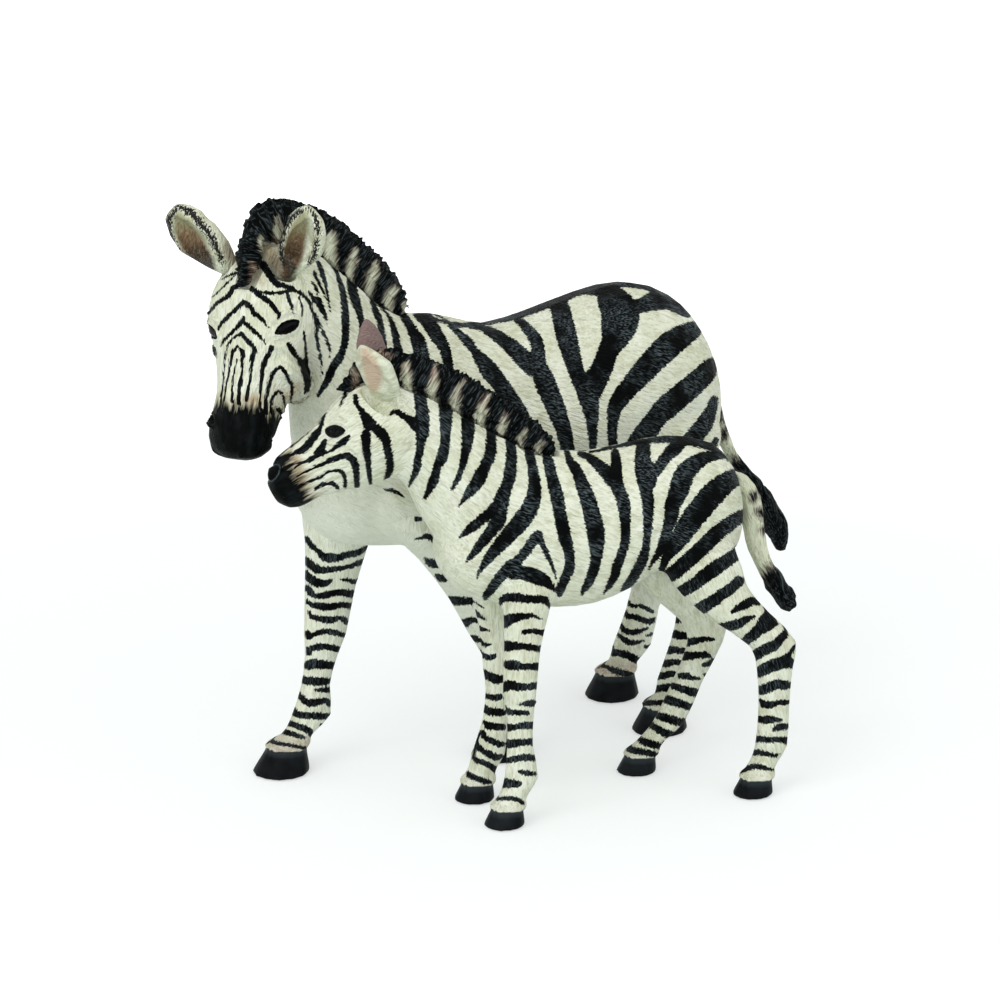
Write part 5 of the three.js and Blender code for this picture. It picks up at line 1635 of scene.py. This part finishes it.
class ZEBRA_OT_coat(Operator):
    """Sculpt and stripe one figure's trunk, neck, head and legs"""

    bl_idname = "zebra.coat"
    bl_label = "Coat"

    figure: figure_choice("Whose coat it is")

    def execute(self, context):
        sizes = context.scene.zebra_sizes
        copies = [node_copy(f"{self.figure}_{part}", "coat") for part in COAT_PARTS]
        for copy in copies:
            swollen(copy, sizes.joint_swell)
        select_only(*copies)
        bpy.ops.object.join()
        coat = context.view_layer.objects.active
        remeshed(coat, sizes.coat_grain, sizes.joint_swell, COAT_SMOOTHING)
        labels = settled_faces(coat, nearest_parts(coat, self.figure))
        softened(coat, joint_weights(coat, labels) * EVENING, JOINT_ROUNDS)
        for part, piece in cut_into_parts(coat, self.figure, labels).items():
            closed_at_joints(piece)
            self.dress(part, piece, sizes)
        return {"FINISHED"}

    def dress(self, part, piece, sizes):
        """Sculpts one part, stores its paints on it and finishes it."""
        figure = FIGURES[self.figure]
        eye = sculpt_head(piece, self.figure, sizes) if part == "head" else None
        over = sculpt_hoof(piece, figure) if part in LEGS else None
        points = points_of(piece)
        normals = normals_of(piece)
        paints = {name: np.full(len(points), level) for name, level in COAT_PAINTS.items()}
        if part == "neck":
            paints["tan"] = painted(to_picture(points), TAN_PATCHES[self.figure])
        if part != "head":
            ink = SeenPlaces(points, normals, figure, to_figure, from_figure).of(painted, figure["side"])
        else:
            picture = SeenPlaces(points, normals, figure, to_head, from_head)
            nostril = picture.of(painted, NOSTRILS[self.figure])
            ink = picture.of(painted, {**figure["side"], **figure["head"]})
            ink = np.maximum.reduce([ink, (eye + EYE_LINE) * EYE_LINE_SHARPNESS, nostril])
            if self.figure == "foal":
                paints["ring"] = humped(nostril, *NOSTRIL_RING)
            paints["tan"] = picture.of(painted, TAN_PATCHES[self.figure])
            paints["muzzle"] = to_head(points, figure)[:, 0] - figure["muzzle_start"]
        if part in LEGS:
            own = painted(to_picture(folded_forward(points)), figure["legs"][part])
            ink = np.maximum(own, ink) if part.endswith("left") else own
            if self.figure == "mare" and part != "foreleg_right":
                ink = np.maximum(ink, banded(points, figure) - RING_PUSH * eased(ink, *RING_CLEARANCE))
            share = figure["blushes"].get(part, LEG_BLUSH)
            paints["blush"] = eased(over, figure["blush_reach"], 0.0) * share
            paints["hoof"] = -over
        paints["ink"] = ink
        # Painted light on the skin that faces down, stronger on the mare
        paints["under"] = eased(-normals[:, 2], *UNDERLIGHT_FACING) * figure["underside"]
        # How much painted sheen of blue-grey hairs this part's black gets
        paints["worn"] = np.full(len(points), SHEEN_SHARES.get(part, LEG_SHEEN_SHARE))
        paints["grain"] = fur_places(points, part, figure)
        for name, values in paints.items():
            store(piece, name, values)
        piece.name = f"{self.figure}_{part}_coat"
        finish_piece(piece, self.figure, "coat", material_named("zebra coat"), f"{self.figure}_{part}")
        if part == "head":
            make_eyes(piece, self.figure, eye, sizes)


# Ears, manes and tails

# How far ears and hair are swollen before a new skin is made, in metres, and how often it is smoothed
EAR_SWELL = 0.00001
HAIR_SWELL = 0.0001
HAIR_SMOOTHING = 3

# How far the strands of a mane are sunk in on the whole, as a share of the strand depth, and in
# millimetres how far the mane is sunk in at its root and how far its crest comes down on the whole
MANE_SINK = 0.3
MANE_ROOT_SINK = 0.5
CREST_SINK = 0.1

# Between which shares of the mane's height its crest, its root and its pink-brown set in
CREST_SHARES = (0.45, 1.0)
ROOT_SHARES = (0.3, 0.0)
LIFT_SHARES = (0.2, 0.8)

# How deep the strands of a tail are cut, as a share of the strand depth: all over, and how much
# more in the tuft, which sets in over so many millimetres on both sides of its edge
TAIL_CUT = 0.25
TUFT_CUT = 0.8
TUFT_EASE = 1.5

# How much strands, locks and clumps wind round a tail, and how sharply the tuft turns black
STRAND_WINDING = 0.6
LOCK_WINDING = -0.5
CLUMP_WINDING = 0.5
TUFT_SHARPNESS = 0.4

# How far an ear's skin faces away where its hollow ends, from and to, and by how much it ends
BEHIND_FACING = (0.05, -0.25)
BEHIND_DEPTH = 6.0


def even_skin(node_name, name, grain, swell):
    """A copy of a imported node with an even, smooth skin."""
    copy = node_copy(node_name, name)
    swollen(copy, swell)
    remeshed(copy, grain, swell, HAIR_SMOOTHING)
    return copy


def shifted_in_picture(points, right, down):
    """Places moved across the photograph by so many pixels."""
    return points + (right[:, None] * CAMERA_RIGHT - down[:, None] * CAMERA_UP) / PIXELS_PER_MM


class ZEBRA_OT_ears(Operator):
    """Sculpt one figure's ears, brown in the hollow and pale at the rim"""

    bl_idname = "zebra.ears"
    bl_label = "Ears"

    figure: figure_choice("Whose ears they are")

    def execute(self, context):
        figure = FIGURES[self.figure]
        sizes = context.scene.zebra_sizes
        for name in EARS:
            node_name = f"{self.figure}_{name}"
            ear = even_skin(node_name, f"{node_name}_skin", sizes.ear_grain, EAR_SWELL)
            points = points_of(ear)
            pixels = to_picture(points)
            (tip, top, low, root), middle, gain, push, drop = EAR_SHIFTS[node_name]
            tall = eased(pixels[:, 1], tip, top) * eased(pixels[:, 1], root, low)
            right = tall * ((pixels[:, 0] - middle) * gain + push)
            points = shifted_in_picture(points, right, tall * drop)
            start, whole, sink = EAR_SINKS[node_name]
            points += CAMERA_FORWARD * (eased(pixels[:, 1], start, whole) * sink)[:, None]
            move_points(ear, points)
            softened(ear, eased(pixels[:, 1], start - EAR_ROOT_LEAD, start), EAR_ROOT_ROUNDS)
            points = points_of(ear)
            pixels = to_picture(points)
            facing = -(normals_of(ear) @ CAMERA_FORWARD)
            paints = EAR_PAINTS[node_name]
            behind = eased(facing, *BEHIND_FACING) * BEHIND_DEPTH
            height = points[:, 2]
            rise = (height - height.min()) / (height.max() - height.min())
            # The foal's far ear takes the mauve, its hollow in painted shade
            if self.figure == "foal":
                rise = np.full(len(points), 1.0 if name == "ear_left" else -1.0)
            store(ear, "rise", rise)
            store(ear, "grain", to_head(points, figure))
            store(ear, "hollow", painted(pixels, paints["hollow"]) - behind)
            store(ear, "ink", painted(pixels, paints["flecks"]) - behind)
            store(ear, "root", painted(pixels, paints["root"]))
            finish_piece(ear, self.figure, "ear", material_named(f"{self.figure} ear"), node_name)
        return {"FINISHED"}


class ZEBRA_OT_mane(Operator):
    """Cut one figure's upright mane into strands, with pale patches"""

    bl_idname = "zebra.mane"
    bl_label = "Mane"

    figure: figure_choice("Whose mane it is")

    def execute(self, context):
        figure = FIGURES[self.figure]
        sizes = context.scene.zebra_sizes
        node_name = f"{self.figure}_mane"
        mane = even_skin(node_name, f"{node_name}_strands", sizes.hair_grain, HAIR_SWELL)
        points = points_of(mane)
        normals = normals_of(mane)
        pixels = to_picture(mirrored_left(points, figure))
        along, beside = along_line(pixels, MANE_ROOTS[self.figure])
        lean = along + beside * figure["mane_lean"]
        share = beside / figure["mane_top"]
        cut = waves("mane strands", lean) + waves("mane bundles", lean) - MANE_SINK
        cut *= sizes.strand_depth / MM
        cut -= MANE_ROOT_SINK * eased(share, *ROOT_SHARES)
        points += normals * cut[:, None]
        rise = waves("mane crest", lean) + waves("mane tips", lean) - CREST_SINK
        rise *= eased(share, *CREST_SHARES)
        points += rise[:, None] * (MANE_RISE @ turned("z", figure["turn"]).T)
        move_points(mane, points)
        store(mane, "grain", np.stack([beside, lean, to_figure(points, figure)[:, 1]], 1))
        store(mane, "ink", -painted(pixels, figure["pales"]))
        store(mane, "lift", eased(share, *LIFT_SHARES))
        store(mane, "tan", painted(to_picture(points), figure["hair_tans"]))
        finish_piece(mane, self.figure, "mane", material_named("zebra hair"), node_name)
        return {"FINISHED"}


class ZEBRA_OT_tail(Operator):
    """Sculpt one figure's tail, pale at the dock with a black tuft"""

    bl_idname = "zebra.tail"
    bl_label = "Tail"

    figure: figure_choice("Whose tail it is")

    def execute(self, context):
        sizes = context.scene.zebra_sizes
        node_name = f"{self.figure}_tail"
        tail = even_skin(node_name, f"{node_name}_strands", sizes.hair_grain, HAIR_SWELL)
        points = points_of(tail)
        normals = normals_of(tail)
        pixels = to_picture(points)
        along, beside = along_line(pixels, TAIL_LINES[self.figure])
        across, down, slope = TAIL_TUFT_EDGES[self.figure]
        tuft = ((pixels[:, 1] - down) + slope * (pixels[:, 0] - across)) / PIXELS_PER_MM
        hairy = eased(tuft, -TUFT_EASE, TUFT_EASE)
        depth = points @ CAMERA_FORWARD
        turn = beside + waves("tail twist", along)
        around = turn + depth * STRAND_WINDING
        strands = waves("tail strands", around) + waves("tail locks", turn + depth * LOCK_WINDING)
        cut = strands * (TAIL_CUT + hairy * TUFT_CUT)
        cut += waves("tail clumps", along + around * CLUMP_WINDING) * hairy
        points += normals * (cut * sizes.strand_depth / MM)[:, None]
        move_points(tail, points)
        store(tail, "grain", np.stack([along, turn, depth], 1))
        store(tail, "ink", np.maximum(tuft * TUFT_SHARPNESS, painted(pixels, TAIL_SPOTS[self.figure])))
        store(tail, "tan", np.full(len(points), UNPAINTED))
        store(tail, "lift", np.zeros(len(points)))
        finish_piece(tail, self.figure, "tail", material_named("zebra hair"), node_name)
        return {"FINISHED"}


# The stage

# Lamps: place and size in metres, and share of the lamp power
LAMPS = {
    "main lamp": ((-0.55, -0.7, 1.0), 0.7, 1.0),
    "fill lamp": ((0.8, -0.5, 0.6), 0.9, 0.35),
    "low lamp": ((-0.2, -1.0, 0.12), 0.8, 0.75),
}
LAMP_AIM = Vector((0.0, 0.0, 0.04))

# Between which distances from the middle the table gets whiter, in metres, how much of it glows
# there at first and how much more further out
FADE_START = 0.13
FADE_END = 0.4
GLOW_SHARE = 0.25
GLOW_GAIN = 0.55


class ZEBRA_OT_stage(Operator):
    """Set the camera, the white table and soft light"""

    bl_idname = "zebra.stage"
    bl_label = "Stage"

    def execute(self, context):
        scene = context.scene
        settings = scene.zebra_stage
        scene.view_settings.view_transform = "Standard"
        self.set_camera(scene)
        self.set_table(settings)
        self.set_light(scene, settings)
        return {"FINISHED"}

    def set_camera(self, scene):
        data = bpy.data.cameras.new("photograph")
        camera = bpy.data.objects.new("photograph", data)
        scene.collection.objects.link(camera)
        camera.location = CAMERA_PLACE * MM
        camera.rotation_euler = Vector(CAMERA_FORWARD).to_track_quat("-Z", "Y").to_euler()
        data.sensor_width = CAMERA_SENSOR
        data.lens = CAMERA_LENS
        data.clip_end = 100
        scene.camera = camera

    def set_table(self, settings):
        bpy.ops.object.select_all(action="DESELECT")
        bpy.ops.mesh.primitive_plane_add(size=settings.table_size)
        table = bpy.context.object
        table.name = "table"
        material, tree, shader = new_material("white table")
        shader.inputs["Base Color"].default_value = (*settings.table_colour, 1.0)
        shader.inputs["Roughness"].default_value = 0.9
        shader.inputs["Specular IOR Level"].default_value = 0.0
        glow = tree.nodes.new("ShaderNodeEmission")
        glow.inputs["Strength"].default_value = settings.table_glow
        blend = tree.nodes.new("ShaderNodeMixShader")
        place = tree.nodes.new("ShaderNodeTexCoord").outputs["Object"]
        away = tree.nodes.new("ShaderNodeVectorMath")
        away.operation = "LENGTH"
        tree.links.new(place, away.inputs[0])
        far = stepped(tree, away.outputs["Value"], FADE_START, FADE_END, GLOW_GAIN)
        tree.links.new(times(tree, seen_ray(tree), plus(tree, far, GLOW_SHARE)), blend.inputs[0])
        tree.links.new(shader.outputs["BSDF"], blend.inputs[1])
        tree.links.new(glow.outputs["Emission"], blend.inputs[2])
        tree.links.new(blend.outputs["Shader"], tree.nodes["Material Output"].inputs["Surface"])
        table.data.materials.append(material)

    def set_light(self, scene, settings):
        world = bpy.data.worlds.new("soft room")
        scene.world = world
        world.use_nodes = True
        tree = world.node_tree
        background = tree.nodes["Background"]
        rest = times(tree, seen_ray(tree), 1 - settings.room_light)
        tree.links.new(plus(tree, rest, settings.room_light), background.inputs["Strength"])
        background.inputs["Color"].default_value = (1.0, 1.0, 1.0, 1.0)
        for name, (place, size, power) in LAMPS.items():
            data = bpy.data.lights.new(name, "AREA")
            data.size = size
            data.energy = settings.lamp_power * power
            lamp = bpy.data.objects.new(name, data)
            scene.collection.objects.link(lamp)
            lamp.location = place
            lamp.rotation_euler = (LAMP_AIM - Vector(place)).to_track_quat("-Z", "Y").to_euler()


def seen_ray(tree):
    """1 for what the camera sees, straight or through gloss, and 0 for the light in the room."""
    path = tree.nodes.new("ShaderNodeLightPath")
    return maths(tree, "MAXIMUM", path.outputs["Is Camera Ray"],
                 maths(tree, "MAXIMUM", path.outputs["Is Glossy Ray"],
                       path.outputs["Is Transmission Ray"]))


class ZEBRA_PT_panel(Panel):
    """Shows the settings, each figure's steps and the stage"""

    bl_label = "Toy Zebra"
    bl_idname = "ZEBRA_PT_panel"
    bl_space_type = "VIEW_3D"
    bl_region_type = "UI"
    bl_category = "Toy Zebra"

    def draw(self, context):
        layout = self.layout
        for settings in (context.scene.zebra_sizes, context.scene.zebra_colours,
                         context.scene.zebra_stage):
            box = layout.box()
            for name in settings.__annotations__:
                box.prop(settings, name)
        for name in FIGURES:
            column = layout.column(align=True)
            for step in FIGURE_STEPS:
                column.operator(step.bl_idname).figure = name
        layout.operator(ZEBRA_OT_stage.bl_idname)


GROUPS = {"zebra_sizes": ZebraSizes, "zebra_colours": ZebraColours, "zebra_stage": ZebraStage}
FIGURE_STEPS = (ZEBRA_OT_coat, ZEBRA_OT_ears, ZEBRA_OT_mane, ZEBRA_OT_tail)
CLASSES = tuple(GROUPS.values()) + FIGURE_STEPS + (ZEBRA_OT_stage, ZEBRA_PT_panel)


def register():
    for entry in CLASSES:
        bpy.utils.register_class(entry)
    for name, group in GROUPS.items():
        setattr(bpy.types.Scene, name, PointerProperty(type=group))


def unregister():
    for name in GROUPS:
        delattr(bpy.types.Scene, name)
    for entry in reversed(CLASSES):
        bpy.utils.unregister_class(entry)


def main():
    register()
    bpy.ops.zebra.stage()
    for name in FIGURES:
        bpy.ops.zebra.coat(figure=name)
        bpy.ops.zebra.ears(figure=name)
        bpy.ops.zebra.mane(figure=name)
        bpy.ops.zebra.tail(figure=name)
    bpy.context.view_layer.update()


if __name__ == "__main__":
    main()
